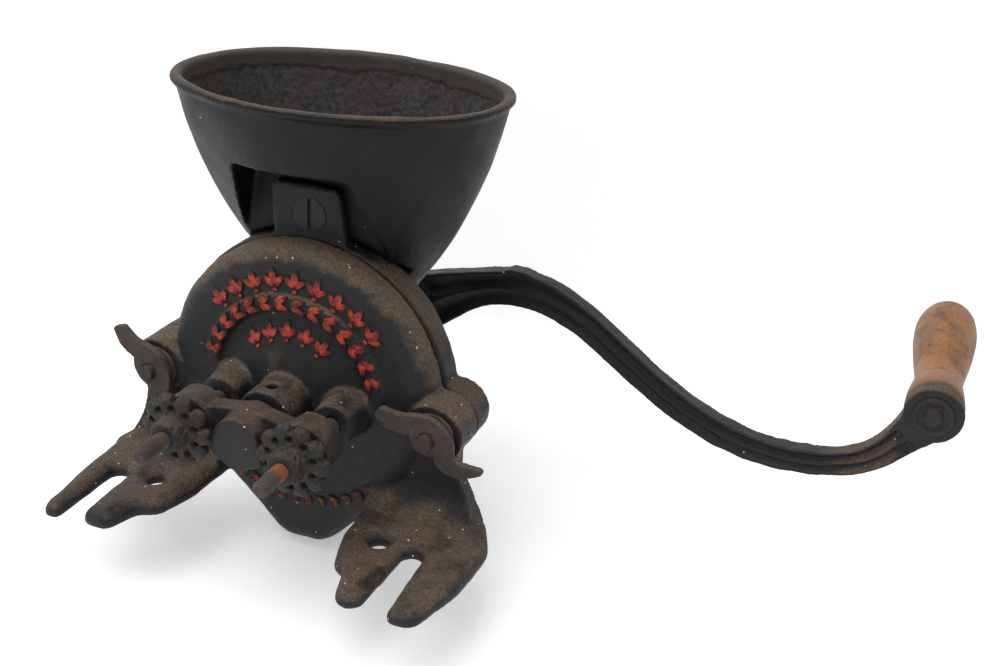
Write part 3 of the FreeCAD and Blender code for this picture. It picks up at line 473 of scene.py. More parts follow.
def face_depth(x, z):
    """y of the plate's front face: flat, with a half ring band above and a shallow cone round the shaft."""
    from_pan = np.hypot(x, z - pan_centre_z)
    on_band = (from_pan > band_inner) & (from_pan < band_outer) & (z > pan_centre_z)
    from_shaft = np.hypot(x, z - shaft_z)
    slope = falling(from_shaft, cone_radius, cone_radius - cone_top_radius)
    cone = np.maximum(slope * cone_height - cone_sunk, 0)
    return plate_face_y - np.maximum(cone, on_band * band_height)


def closed_mesh(name, points, faces):
    """Mesh of closed bodies, with its faces turned outwards."""
    mesh = bpy.data.meshes.new(name)
    mesh.from_pydata(points.reshape(-1, 3).tolist(), [], faces)
    turned = bmesh.new()
    turned.from_mesh(mesh)
    bmesh.ops.recalc_face_normals(turned, faces=turned.faces)
    turned.to_mesh(mesh)
    turned.free()
    return mesh


def tube_mesh(name, bodies):
    """Mesh of closed tubes. Each is a grid of rings of points, whose first and last ring become flat ends."""
    faces = []
    base = 0
    for rings in bodies:
        rows, columns = rings.shape[:2]
        index = base + np.arange(rows * columns).reshape(rows, columns)
        after = np.roll(index, -1, axis=1)
        faces += np.stack([index[:-1], after[:-1], after[1:], index[1:]], -1).reshape(-1, 4).tolist()
        faces += [index[0, ::-1].tolist(), index[-1].tolist()]
        base += rows * columns
    return closed_mesh(name, np.concatenate([rings.reshape(-1, 3) for rings in bodies]), faces)


def leaf(x, z, heading, length, width, bend=0.0):
    """Rings of one raised leaf that starts at (x, z).

    Along its length s from 0 to 1 the half width is width/2 times sin(pi s^0.8)^0.7, and its heading turns
    by bend. Round each ring the height is leaf_proud times sin(a)^0.6 above the face and leaf_sink times
    sin(a) below it, both times sin(pi s^0.8)^0.5. A groove 0.28 of the height deep runs along the middle.
    """
    s = np.linspace(0.02, 0.985, 15)
    turn = heading + bend * s
    step = length / (len(s) - 1)
    line_x = x + np.concatenate([[0], np.cumsum(np.cos(turn[:-1]) * step)])
    line_z = z + np.concatenate([[0], np.cumsum(np.sin(turn[:-1]) * step)])
    half = width / 2 * np.sin(np.pi * s ** 0.8) ** 0.7
    angle = np.linspace(0, 2 * np.pi, 18, endpoint=False)
    across = np.cos(angle)[None, :] * half[:, None]
    px = line_x[:, None] - np.sin(turn)[:, None] * across
    pz = line_z[:, None] + np.cos(turn)[:, None] * across
    swell = np.sin(np.pi * s ** 0.8)[:, None] ** 0.5
    rim = np.abs(np.sin(angle))
    up = np.where(np.sin(angle) > 0, leaf_proud * rim ** 0.6, -leaf_sink * rim)
    groove = 1 - 0.28 * np.exp(-(np.cos(angle) / 0.22) ** 2) * (np.sin(angle) > 0)
    py = face_depth(px, pz) - (up * groove)[None, :] * swell
    return np.stack([px, py, pz], -1)


def on_pan(radius, out):
    """x and z of the point at a radius from the pan's middle, out from it at an angle."""
    return radius * math.cos(out), pan_centre_z + radius * math.sin(out)


def palmette(radius, degrees, size):
    """Three leaves that open from one foot, the middle one tallest, with a bud under them."""
    out = math.radians(degrees)
    foot = on_pan(radius, out)
    leaves = [leaf(*foot, out, size, size * 0.48), leaf(*foot, out + math.pi, size * 0.3, size * 0.3)]
    return leaves + [
        leaf(*foot, out + side * 0.55, size * 0.86, size * 0.4, bend=side * 0.75) for side in (1, -1)]


def laurel(radius, start, stop, count, length, width):
    """Pairs of leaves that lean to both sides of a round line."""
    return [
        leaf(*on_pan(radius, out), out - math.pi / 2 + side * 0.62, length, width, bend=-side * 0.4)
        for out in np.radians(np.linspace(start, stop, count)) for side in (1, -1)]


ornament = laurel(0.0531, 166, 22, 14, 0.0098, 0.0052) + laurel(0.0725, -117, -46, 11, 0.0078, 0.0040)
for count, radius, first, step, size in ((9, 0.0620, 134, 11.6, 0.0116), (5, 0.0330, 129, 18.0, 0.0104)):
    for number in range(count):
        ornament += palmette(radius, first - step * number, size)
ornament_mesh = tube_mesh("raised_ornament", ornament)
at = coordinates(ornament_mesh)
write_values(ornament_mesh, "crown", np.clip((face_depth(at[:, 0], at[:, 2]) - at[:, 1]) / leaf_proud, 0, 1))
leaves = finish_mesh("raised_ornament", ornament_mesh, "frame", [])

material, tree, shader = new_material("worn red paint")
place = add(tree, "TexCoord").outputs["Object"]
high = point_value(tree, "crown")
chips = noise(tree, place, 380.0, 6.0, 0.74)
low_part = rise(tree, split_xyz(tree)["Z"], 0.02, 0.05)
kept = plus(tree, high, times(tree, minus(tree, chips, 0.5), 2.2))
kept = plus(tree, kept, times(tree, minus(tree, low_part, 1.0), 0.3))
painted = rise(tree, kept, 0.42, 0.7)
faded = rise(tree, noise(tree, place, 240.0, 6.0, 0.65), 0.36, 0.64)
red = tint(tree, faded, colour(112, 34, 28), colour(204, 76, 52))
# Painted shade: the red is mixed to a dark red where the leaf stands low, on its flanks.
red = tint(tree, rise(tree, high, 0.5, 0.95), colour(72, 28, 26), red)
wire(tree, shader, Base_Color=tint(tree, painted, colour(38, 34, 33), red), Specular_IOR_Level=0.3,
     Roughness=level(tree, painted, 0.6, 0.5), Normal=bump(tree, 0.8, 0.0003, plus(tree, painted, chips)))
leaves.data.materials.append(material)

# Body of the mill: the rear casting with the feed barrel, the bearing neck, the throat and the hopper's
# tab. It is the same black iron as the plate, and little dust has come to lie where the hopper covers it.


def body_dust(tree):
    """Dust on the round of the body and on its lugs, but not on the tab under the hopper."""
    z = split_xyz(tree)["Z"]
    low = minus(tree, 0.45, times(tree, rise(tree, z, 0.135, 0.15), 0.6))
    return plus(tree, round_ring(tree, 0.078, 0.088, 0.2), low)


body = casting("cast_mill_body", "mill_body", "frame", 0.0013, 9, 0.0003, 0.03, 23)
# The lip on the throat's top keeps inside the hopper's foot: what reaches past its back is drawn in to
# there. Just below the lip this starts at the throat's rim, whose back is half an oval seen from above:
# y = rim_y + rim_bulge sqrt(1 - (x/rim_half)^2).
lip_back_y, lip_low_z, lip_top_z, lip_half_x = 0.1093, 0.1195, 0.125, 0.047
rim_y, rim_bulge, rim_half, rim_low_z = 0.0968, 0.020, 0.048, 0.1165
at = coordinates(body.data)
throat_rim = rim_y + rim_bulge * np.sqrt(np.maximum(1 - (at[:, 0] / rim_half) ** 2, 0))
past_rim = (at[:, 2] > rim_low_z) & (at[:, 2] < lip_top_z) & (np.abs(at[:, 0]) < lip_half_x)
past_rim &= at[:, 1] > np.where(at[:, 2] > lip_low_z, lip_back_y, throat_rim)
at[past_rim, 1] = lip_back_y
place_points(body.data, at)
body.data.materials.append(iron(
    "body black", (27, 26, 27), rough=0.52, grain=0.0022, relief=0.0007, crust=0.5, dust=-0.15, rust=0.08,
    worn=0.1, specks=0.25, patch=0.02, dust_on=body_dust))

# Hopper: an oval bowl of thin cast iron with a small bead round its mouth, open below to the throat.
# Outside it is smooth black lacquer, inside bare and rough from the sand and the grain.

# The back wall is whole down to the foot: the solid has a pointed gap there, and a curved panel closes it.
# Seen from above the wall is a round of radius reach about (wall_x, wall_y), and from the side an arc
# through the three pairs of reach and z in arc_at, with reach = arc_r + sqrt(arc_radius^2 - (z - arc_z)^2).
wall_x, wall_y, wall_thick = 0.001, 0.03714, 0.004
arc_at = np.array([(0.0767, 0.119), (0.1100, 0.177), (0.1250, 0.2276)])
chords = arc_at[1:] - arc_at[0]
arc_r, arc_z = np.linalg.solve(2 * chords, (arc_at[1:] ** 2).sum(1) - (arc_at[0] ** 2).sum())
arc_radius = math.hypot(arc_at[0, 0] - arc_r, arc_at[0, 1] - arc_z)
panel_z = np.linspace(0.1192, 0.184, 60)[:, None]
reach = arc_r + np.sqrt(arc_radius ** 2 - (panel_z - arc_z) ** 2)
panel_x = np.linspace(-0.03, 0.03, 41)[None, :]
outer_y = wall_y + np.sqrt(reach ** 2 - panel_x ** 2)
inner_y = wall_y + np.sqrt((reach - wall_thick) ** 2 - panel_x ** 2)
panel = np.stack(np.broadcast_arrays(
    np.concatenate([panel_x, panel_x[:, ::-1]], 1) + wall_x, np.concatenate([outer_y, inner_y[:, ::-1]], 1),
    panel_z), -1)
hopper = casting("cast_hopper", "hopper", "frame", 0.00128, 16, 0.0003, 0.05, 37,
                 added=tube_mesh("back_wall_panel", [panel]))
# The bare inside starts under the lip, on a line that the brush left uneven. The recess in front counts as
# outside.
lip_tall = 0.0095
recess_half, recess_foot_z, recess_slope, recess_top_z, recess_back_y = 0.0525, 0.137, 0.209, 0.1965, 0.080
at = coordinates(hopper.data)
normals = point_normals(hopper.data)
middle = 0.5 * (at.min(0) + at.max(0))
outward = (normals[:, 0] * (at[:, 0] - middle[0]) + 1.7 * normals[:, 1] * (at[:, 1] - middle[1])) / 0.08
rim_z = np.max(at[:, 2])
turn = np.arctan2(at[:, 1] - middle[1], at[:, 0] - middle[0])
ripple = 0.0007 * np.sin(5 * turn + 0.6) + 0.0009 * unit_waves(at, 0.009, 39)
under_lip = falling(at[:, 2], rim_z - lip_tall + ripple, 0.0012)
in_recess = np.abs(at[:, 0]) < recess_half - (at[:, 2] - recess_foot_z) * recess_slope
in_recess &= (at[:, 2] < recess_top_z) & (at[:, 1] < recess_back_y)
outward = np.where(in_recess, 1.0, outward)
write_values(hopper.data, "lip", (1 - under_lip) * np.clip(-outward * 6 + 0.5, 0, 1))
write_values(hopper.data, "inside", under_lip * np.clip(-outward * 6 + 0.2, 0, 1))
at -= normals * (0.0005 * under_lip * np.clip(-outward * 6, 0, 1))[:, None]
place_points(hopper.data, at)


def opened(material):
    """Node tree and main shader of a material, and what feeds the shader's colour and normal."""
    tree = material.node_tree
    shader = next(node for node in tree.nodes if node.type == "BSDF_PRINCIPLED")
    colour_from, normal_from = (shader.inputs[key].links[0].from_socket for key in ("Base Color", "Normal"))
    return tree, shader, colour_from, normal_from


hopper_black = iron(
    "hopper black", (14, 12, 13), rough=0.5, grain=0.0022, relief=0.0004, pits=0.2, crust=0.3, dust=-0.22,
    rust=0.1, worn=0.04, specks=0.05, patch=0.03, slow=0.5, shine=0.25,
    dust_on=lambda tree: times(tree, rise(tree, split_xyz(tree)["Z"], 0.220, 0.229), 0.55))
tree, shader, outer_look, outer_normal = opened(hopper_black)
place = add(tree, "TexCoord").outputs["Object"]
bare_share = point_value(tree, "inside")
lumps = noise(tree, place, 300.0, 9.0, 0.72)
inner_look = tint(tree, rise(tree, lumps, 0.36, 0.62), colour(43, 41, 42), colour(76, 71, 70))
shade = rise(tree, noise(tree, place, 45.0, 5.0), 0.45, 0.7)
inner_look = tint(tree, times(tree, shade, 0.6), inner_look, colour(64, 59, 55))
# Painted shade in the recess: over a trapezium seen from the front, whose half width is 0.0762 m less
# 0.2087 times z, the colour goes nearly black. Then a rubbed brown band inside the lip.
recess_shade_half, recess_shade_slope, recess_shade_top_z, recess_shade_back_y = 0.0762, 0.2087, 0.1951, 0.100
at_point = split_xyz(tree)
half_width = minus(tree, recess_shade_half, times(tree, at_point["Z"], recess_shade_slope))
painted_recess_shade = rise(tree, minus(tree, half_width, calc(tree, "ABSOLUTE", at_point["X"])), 0.0, 0.0006)
painted_recess_shade = times(tree, painted_recess_shade, rise(tree, minus(tree, recess_shade_top_z, at_point["Z"]), 0.0, 0.0006))
painted_recess_shade = times(tree, painted_recess_shade, rise(tree, minus(tree, recess_shade_back_y, at_point["Y"]), 0.0, 0.001))
# Painted shade: the recess is mixed most of the way to near black.
outer_look = tint(tree, times(tree, painted_recess_shade, 0.8), outer_look, colour(9, 9, 10))
rubbed = times(tree, point_value(tree, "lip"), level(tree, noise(tree, place, 60.0, 5.0), 0.55, 1.0))
outer_look = tint(tree, rubbed, outer_look, colour(70, 65, 60))
wire(tree, shader, Base_Color=tint(tree, bare_share, outer_look, inner_look),
     Normal=bump(tree, bare_share, 0.0011, lumps, Normal=outer_normal))
hopper.data.materials.append(hopper_black)

# Slotted countersunk screw that holds the hopper to the body's tab, steel turned black with age.
hopper_screw = casting(
    "slotted_hopper_screw", "hopper_screw", "frame", 0.00035, 4, 0.00004, 0.008, 41)
hopper_screw.data.materials.append(iron(
    "screw black", (34, 33, 33), rough=0.45, grain=0.0012, relief=0.0002, rust=0.15, worn=0.15, patch=0.008))

# Yoke: the cast cross bar that slides on the two studs and presses on the end of the shaft.
yoke = casting("cast_yoke", "adjusting_yoke", "yoke", 0.0006, 7, 0.00025, 0.012, 53, soft=0.9)
yoke.data.materials.append(iron(
    "yoke brown black", (38, 35, 33), rough=0.58, grain=0.0018, relief=0.0009, crust=0.7, dust=0.3, rust=0.2,
    worn=0.12, patch=0.01, specks=0.2))

# Hand nuts: cast finger nuts with a lobed rim and blind dimples, dark and crusted in their hollows.
nut_brown = iron(
    "nut black", (38, 37, 35), rough=0.6, grain=0.0017, relief=0.0009, pits=0.5, crust=0.8, dust=0.12,
    dusty=(100, 88, 74), rust=0.25, worn=0.15, patch=0.008)
nut_core, nut_hub, nut_bore, nut_reach = 0.0166, 0.0092, 0.0048, 0.020
# The beads are the lobes of the rim, and the pits are its dimples.
nut_beads, bead_proud, bead_half_width, bead_half_depth, bead_depth = 10, 0.0043, 0.0047, 0.0050, 0.0079
pit_radius, pit_half, pit_sink = 0.0137, 0.0022, 0.0042
# How far the nuts' backs keep off the yoke.
nut_clear = 0.0004
outline = np.array([
    (nut_bore, 0.0), (0.0092, 0.0), (0.0106, 0.0008), (0.0110, 0.0030), (0.0122, 0.0038), (0.0152, 0.0040),
    (nut_core, 0.0052), (nut_core, 0.0080), (nut_core, 0.0104), (0.0152, 0.0118), (0.0118, 0.0122),
    (0.0104, 0.0128), (nut_hub + 0.0004, 0.0150), (nut_hub, 0.0182), (nut_hub - 0.0012, nut_reach),
    (nut_bore, nut_reach)])


def rising(values, start, length):
    """0 up to start, 1 from start plus length on, straight between."""
    return np.clip((values - start) / length, 0, 1)


def nut_grid(centre_x, back_y, seed):
    """Rings of a cast finger nut round the line (centre_x, shaft_z), from its bore over back, rim and hub.

    The outline is sampled evenly along its length. The beads swell its rim: each adds bead_proud times
    sqrt(1 - a^2 - b^2), with a the way round from the bead's middle and b the way along the shaft, both as
    shares of the bead's half size. Between the beads, dimples of the same kind sink into the front face.
    """
    along = np.concatenate([[0], np.cumsum(np.linalg.norm(np.diff(outline, axis=0), axis=1))])
    even = np.linspace(0, along[-1], 92)
    r = np.interp(even, along, outline[:, 0])[:, None]
    depth = np.interp(even, along, outline[:, 1])[:, None]
    angle = np.linspace(0, 2 * np.pi, 220, endpoint=False)[None, :]
    step = 2 * np.pi / nut_beads
    from_bead = (angle + step / 2) % step - step / 2
    bulge = 1 - (from_bead * nut_core / bead_half_width) ** 2 - ((depth - bead_depth) / bead_half_depth) ** 2
    reach = r + bead_proud * np.sqrt(np.maximum(bulge, 0)) * rising(r, 0.0128, 0.003)
    from_pit = angle % step - step / 2
    pit = 1 - (from_pit * r / pit_half) ** 2 - ((r - pit_radius) / pit_half) ** 2
    depth = depth - (depth > 0.0090) * (r > 0.0109) * pit_sink * np.sqrt(np.maximum(pit, 0))
    grid = np.stack([
        centre_x + reach * np.cos(angle), back_y - np.broadcast_to(depth, reach.shape),
        shaft_z + reach * np.sin(angle)], -1)
    flat = grid.reshape(-1, 3)
    crumbs = 0.0004 * unit_waves(flat, 0.0034, seed) * rising(reach.ravel(), 0.006, 0.002)
    away = np.stack([np.cos(angle + 0 * r), 0 * reach, np.sin(angle + 0 * r)], -1).reshape(-1, 3)
    return (flat + away * crumbs[:, None]).reshape(grid.shape)


def ring_mesh(name, grid):
    """Closed mesh of a grid whose rows go once round a ring's section and whose columns go round its axis."""
    rows, columns = grid.shape[:2]
    index = np.arange(rows * columns).reshape(rows, columns)
    below, after = np.roll(index, -1, axis=0), np.roll(index, -1, axis=1)
    quads = np.stack([index, after, np.roll(below, -1, axis=1), below], -1).reshape(-1, 4)
    return closed_mesh(name, grid, quads.tolist())


for side, seed in (("right", 61), ("left", 67)):
    low, high = np.array(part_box("hand_nut_" + side))
    nut_mesh = ring_mesh("lobed_hand_nut", nut_grid((low[0] + high[0]) / 2, high[1] - nut_clear, seed))
    node = "hand_nut_" + side
    nut = finish_mesh("lobed_" + node, nut_mesh, "hand_nut_" + side[0], [node])
    nut.data.materials.append(nut_brown)

# Wing nuts on the lug bolts: thick bent castings, sandy brown with old rust.
wing_brown = iron(
    "wing nut brown", (56, 51, 47), rough=0.64, grain=0.0017, relief=0.0007, pits=0.5, crust=0.7, dust=0.35,
    dusty=(112, 97, 80), rust=0.3, worn=0.25, patch=0.01, specks=0.1)
for side in ("right", "left"):
    node = "wing_nut_" + side
    wing = casting("cast_" + node, node, "wing_" + side[0], 0.0005, 9, 0.00025, 0.01, 71, soft=1.0)
    wing.data.materials.append(wing_brown)

# Crank: the long S-shaped iron arm, fluted on both faces, with its hub, its eye and the set screw. The
# lacquer is deep black in the flutes and brown towards the eye, where hands have worn it.


def crank_dust(tree):
    """Dust on the last reach of the arm before the eye."""
    x = split_xyz(tree)["X"]
    near = times(tree, rise(tree, x, 0.27, 0.31), 1.2)
    return minus(tree, near, times(tree, rise(tree, x, 0.318, 0.332), 0.75))


crank = casting("cast_crank", "crank_arm", "shaft", 0.00075, 7, 0.0003, 0.018, 83)
arm_front, arm_back = 0.169, 0.180
flute_deep, flute_share = 0.0030, 0.86
eye_x, eye_z = 0.33904, 0.06777
# Stations of the arm's middle line: x, z and the arm's width there.
stations = np.array([
    (0.0095, 0.06747, 0.0380), (0.0263, 0.07537, 0.0355), (0.04949, 0.08629, 0.0254),
    (0.0876, 0.09337, 0.0224), (0.12429, 0.08086, 0.0190), (0.15468, 0.06075, 0.0176),
    (0.18508, 0.04063, 0.0173), (0.23566, 0.02045, 0.0165), (0.29009, 0.02211, 0.0150),
    (0.30823, 0.03013, 0.0158), (0.32236, 0.04405, 0.0180), (eye_x, eye_z, 0.0336)])
legs = np.concatenate([[0], np.cumsum(np.linalg.norm(np.diff(stations[:, :2], axis=0), axis=1))])


def smooth_through(values, at):
    """Cubic Hermite curve through the values at legs, with slopes from the two neighbours of each station."""
    slope = np.gradient(values, legs)
    leg = np.clip(np.searchsorted(legs, at, side="right") - 1, 0, len(legs) - 2)
    gap = legs[leg + 1] - legs[leg]
    t = (at - legs[leg]) / gap
    return ((2 * t ** 3 - 3 * t ** 2 + 1) * values[leg] + (t ** 3 - 2 * t ** 2 + t) * gap * slope[leg]
            + (3 * t ** 2 - 2 * t ** 3) * values[leg + 1] + (t ** 3 - t ** 2) * gap * slope[leg + 1])


# Flutes: on both faces of the arm two round grooves leave a rim and a swelling rib between them. Across the
# arm the sink is flute_deep times sin(pi u / flute_share)^1.2, with u the distance from the middle line as
# a share of half the width, up to flute_share. Below the line it is three quarters of that, and it fades
# out at the hub and at the eye.
run = np.linspace(0, legs[-1], 260)
line_x, line_z, line_w = (smooth_through(stations[:, column], run) for column in range(3))
ahead_x, ahead_z = np.gradient(line_x, run), np.gradient(line_z, run)
at = coordinates(crank.data)
nearest = np.argmin((at[:, :1] - line_x) ** 2 + (at[:, 2:] - line_z) ** 2, axis=1)
across = -(at[:, 0] - line_x[nearest]) * ahead_z[nearest] + (at[:, 2] - line_z[nearest]) * ahead_x[nearest]
u = across / (line_w[nearest] / 2)
from_hub = np.hypot(at[:, 0], at[:, 2] - shaft_z)
from_eye = np.hypot(at[:, 0] - eye_x, at[:, 2] - eye_z)
open_run = rising(from_hub, 0.024, 0.010) * rising(from_eye, 0.0185, 0.012)
wave = np.sin(np.pi * np.clip(np.abs(u) / flute_share, 0, 1)) ** 1.2
sink = flute_deep * np.where(u > 0, 1.0, 0.75) * wave + 0.0003
in_front = at[:, 1] < (arm_front + arm_back) / 2
lumpy = 0.00012 * unit_waves(at, 0.006, 84)
target = np.where(in_front, arm_front + sink, arm_back - sink) + lumpy
weight = open_run * falling(np.abs(u), flute_share, 0.06)
at[:, 1] += weight * (target - at[:, 1])
# Casting lumps on the arm's upper edge: x and z of each, its reach and its height.
for lump_x, lump_z, reach, tall in ((0.0770, 0.1033, 0.004, 0.0016), (0.0850, 0.1035, 0.005, 0.0013),
                                    (0.2590, 0.0290, 0.004, 0.0014), (0.2720, 0.0284, 0.006, 0.0011)):
    near = np.exp(-((at[:, 0] - lump_x) ** 2 + (at[:, 2] - lump_z) ** 2) / reach ** 2)
    at[:, 2] += tall * near * (u > 0.5)
place_points(crank.data, at)
write_values(crank.data, "edge", np.where(weight > 0.5, 0.0, read_values(crank.data, "edge")))
crank.data.materials.append(iron(
    "crank black", (21, 21, 23), rough=0.46, grain=0.0022, relief=0.0006, crust=0.45, dust=-0.3, rust=0.05,
    rusty=(74, 60, 50), worn=0.03, patch=0.03, specks=0.06, shine=0.34, dust_on=crank_dust))
set_screw = casting(
    "square_set_screw", "crank_set_screw", "shaft", 0.0004, 4, 0.00005, 0.006, 89)
set_screw.data.materials.append(iron(
    "set screw brown", (58, 50, 44), rough=0.5, grain=0.0009, relief=0.0002, rust=0.5, worn=0.2, patch=0.006))

# Adjusting studs: steel rods with a fine thread cut along them, rusty by the nuts and worn round at the
# tip. The lug bolts are the same kind of rod with a coarser thread, carried over plain inside their wing
# nuts.
stud_pitch, stud_depth, tip_round = 0.0015875, 0.00075, 0.0028
for side, tone, bloom in (("right", (72, 65, 58), (160, 92, 50)), ("left", (60, 54, 48), (92, 76, 60))):
    low, high = np.array(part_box("adjusting_stud_" + side))
    stud_radius = (high[0] - low[0]) / 2
    turns = (high[1] - low[1]) / stud_pitch
    y = np.linspace(low[1], high[1], int(turns * 9))
    angle = np.linspace(0, 2 * np.pi, 28, endpoint=False)
    screw = 0.5 - 0.5 * np.cos(2 * np.pi * (y[:, None] - low[1]) / stud_pitch - angle[None, :])
    from_tip = rising(y, low[1], tip_round)[:, None]
    worn_round = stud_radius * (0.42 + 0.58 * np.sqrt(1 - (1 - from_tip) ** 2))
    worn = 0.6 + 0.4 * rising(y[:, None], low[1], 0.012)
    radius = worn_round - stud_depth * screw * worn * np.clip(from_tip, 0.15, 1)
    centre = (low + high) / 2
    rings = np.stack([
        centre[0] + radius * np.cos(angle), np.broadcast_to(y[:, None], radius.shape),
        centre[2] + radius * np.sin(angle)], -1)
    stud_mesh = tube_mesh("threaded_stud", [rings])
    write_values(stud_mesh, "root", np.clip(screw * worn, 0, 1))
    stud = finish_mesh("threaded_stud_" + side, stud_mesh, "frame", ["adjusting_stud_" + side])
    rusty_end = iron(
        "stud rust " + side, tone, rough=0.6, grain=0.0012, relief=0.0003, crust=0.7, dust=-0.2, rust=0.3,
        rusty=(110, 84, 60), patch=0.004, worn=0.1)
    tree, shader, look = opened(rusty_end)[:3]
    along = split_xyz(tree)["Y"]
    by_nut = minus(tree, rise(tree, along, low[1] + 0.011, low[1] + 0.0165),
                  rise(tree, along, low[1] + 0.028, low[1] + 0.030))
    look = tint(tree, times(tree, by_nut, 0.85), look, colour(*bloom))
    # Painted shade in the thread roots: the colour goes to dark brown where the root value is high.
    painted_root_shade = times(tree, point_value(tree, "root"), 0.75)
    wire(tree, shader, Base_Color=tint(tree, painted_root_shade, look, colour(34, 29, 26)))
    stud.data.materials.append(rusty_end)

# Pieces inside and behind the mill that keep the shape of their solids: the burrs, their carrier and the
# worm of bare ground iron, and the screws, pins, washers, shaft and lug bolts of darkened steel.
bare = iron(
    "bare ground iron", (112, 104, 95), rough=0.5, grain=0.001, relief=0.0002, dust=-0.1, rust=0.3,
    patch=0.012)
steel = iron(
    "darkened steel", (84, 76, 69), rough=0.42, grain=0.0008, relief=0.0001, pits=0.1, dust=0.0, rust=0.4,
    patch=0.01)
bolt_brown = iron(
    "bolt brown", (50, 44, 39), rough=0.62, grain=0.0015, relief=0.0005, crust=0.7, dust=0.1, rust=0.3,
    worn=0.1, patch=0.008)
for finish, nodes in (
        (bare, ("fixed_burr", "runner_burr", "burr_carrier", "feed_worm")),
        (steel, ("fixed_burr_screws", "runner_burr_screws", "drive_pin", "worm_pin", "main_shaft",
                 "thrust_ball", "lug_washer_right", "lug_washer_left", "grip_washer")),
        (bolt_brown, ("lug_bolts",))):
    for node in nodes:
        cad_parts[node].data.materials.clear()
        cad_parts[node].data.materials.append(finish)

# Grip bolt: a steel rod through the eye and the grip, peened over a round burr washer on the eye's front
# face. Its other end is riveted in a sink in the grip's round end.


def turned(profile, columns):
    """Rings of a body turned round the line (eye_x, eye_z). The profile holds radius and y."""
    angle = np.linspace(0, 2 * np.pi, columns, endpoint=False)[None, :]
    r, y = profile[:, :1], profile[:, 1:]
    return np.stack(np.broadcast_arrays(eye_x + r * np.cos(angle), y, eye_z + r * np.sin(angle)), -1)


bolt_profile = np.array([
    (0.0002, 0.1656), (0.0024, 0.1655), (0.0041, 0.1658), (0.0050, 0.1664), (0.0054, 0.1672),
    (0.0055, 0.1682), (0.0066, 0.1683), (0.0082, 0.1681), (0.0090, 0.1675), (0.0098, 0.1672),
    (0.0108, 0.1673), (0.0115, 0.1678), (0.0119, 0.1686), (0.0119, 0.1692), (0.0045, 0.1692),
    (0.0045, 0.2400), (0.0045, 0.3151), (0.0064, 0.3151), (0.0064, 0.3166), (0.0052, 0.3178),
    (0.0030, 0.3181), (0.0002, 0.3181)])
bolt_mesh = tube_mesh("peened_grip_bolt", [turned(bolt_profile, 72)])
knocks = coordinates(bolt_mesh)
knocks[:, 1] += 0.00016 * unit_waves(knocks, 0.005, 97) * (knocks[:, 1] < 0.1689)
place_points(bolt_mesh, knocks)
grip_bolt = finish_mesh("peened_grip_bolt", bolt_mesh, "shaft", ["grip_bolt"])
grip_bolt.data.materials.append(iron(
    "rivet black", (38, 35, 33), rough=0.55, grain=0.0016, relief=0.0005, crust=0.6, dust=-0.1, rust=0.15,
    worn=0.15, patch=0.006))

# Grip: turned hardwood, varnished orange brown once, dark where it was held and at its foot. Its left side is
# painted paler: a painted sheen.
material, tree, shader = new_material("turned wood")
place = add(tree, "TexCoord").outputs["Object"]
along = add(tree, "Mapping", Vector=place, Scale=(1.0, 0.05, 1.0)).outputs["Vector"]
grain_lines = noise(tree, along, 900.0, 4.0, 0.6)
blurred = add(tree, "Mapping", Vector=place, Scale=(1.0, 0.45, 1.0)).outputs["Vector"]
cloud = noise(tree, blurred, 70.0, 6.0, 0.62)
wood = tint(tree, rise(tree, cloud, 0.34, 0.66), colour(106, 70, 38), colour(164, 106, 46))
wood = tint(tree, times(tree, rise(tree, grain_lines, 0.48, 0.7), 0.45), wood, colour(92, 56, 32))
split = split_xyz(tree)
# Painted sheen: the grip's left side is mixed towards a pale grey brown.
painted_sheen_left = rise(tree, times(tree, split["X"], -1.0), -0.342, -0.324)
wood = tint(tree, times(tree, painted_sheen_left, 0.35), wood, colour(150, 116, 84))
stain = rise(tree, noise(tree, place, 48.0, 9.0, 0.76), 0.47, 0.64)
wood = tint(tree, times(tree, stain, 0.62), wood, colour(80, 50, 30))
specked = rise(tree, noise(tree, place, 420.0, 4.0, 0.7), 0.62, 0.72)
wood = tint(tree, times(tree, specked, 0.5), wood, colour(70, 46, 32))
foot = minus(tree, 1.0, rise(tree, split["Y"], 0.202, 0.204))
wood = tint(tree, times(tree, foot, 0.6), wood, colour(144, 106, 82))
from_line = calc(tree, "ABSOLUTE", minus(tree, split["Y"], 0.2036))
line = minus(tree, 1.0, rise(tree, from_line, 0.0003, 0.0012))
base_line = minus(tree, 1.0, rise(tree, split["Y"], 0.1822, 0.1838))
wood = tint(tree, times(tree, calc(tree, "MAXIMUM", line, base_line), 0.6), wood, colour(66, 42, 30))
wire(tree, shader, Base_Color=wood, Roughness=level(tree, stain, 0.46, 0.62), Specular_IOR_Level=0.35,
     Normal=bump(tree, 0.6, 0.0004, plus(tree, grain_lines, cloud)))

grip_from = 0.1818
grip_profile = np.array([
    (0.0046, 0.0), (0.0100, 0.0), (0.0150, 0.0), (0.0162, 0.0010), (0.0168, 0.0036), (0.0166, 0.0090),
    (0.0160, 0.0150), (0.0155, 0.0196), (0.0151, 0.0210), (0.0144, 0.0218), (0.0146, 0.0228),
    (0.0146, 0.0250), (0.0143, 0.0300), (0.0144, 0.0360), (0.0150, 0.0440), (0.0159, 0.0530),
    (0.0171, 0.0640), (0.0183, 0.0765), (0.0191, 0.0880), (0.0195, 0.0980), (0.0196, 0.1060),
    (0.0193, 0.1130), (0.0186, 0.1200), (0.0172, 0.1265), (0.0150, 0.1320), (0.0124, 0.1360),
    (0.0098, 0.1383), (0.0082, 0.1390), (0.0079, 0.1386), (0.0079, 0.1330), (0.0046, 0.1330),
    (0.0046, 0.0900)])
grip_profile[:, 1] += grip_from
grip_mesh = ring_mesh("turned_grip", turned(grip_profile, 96))
wear = coordinates(grip_mesh)
off = wear[:, [0, 2]] - (eye_x, eye_z)
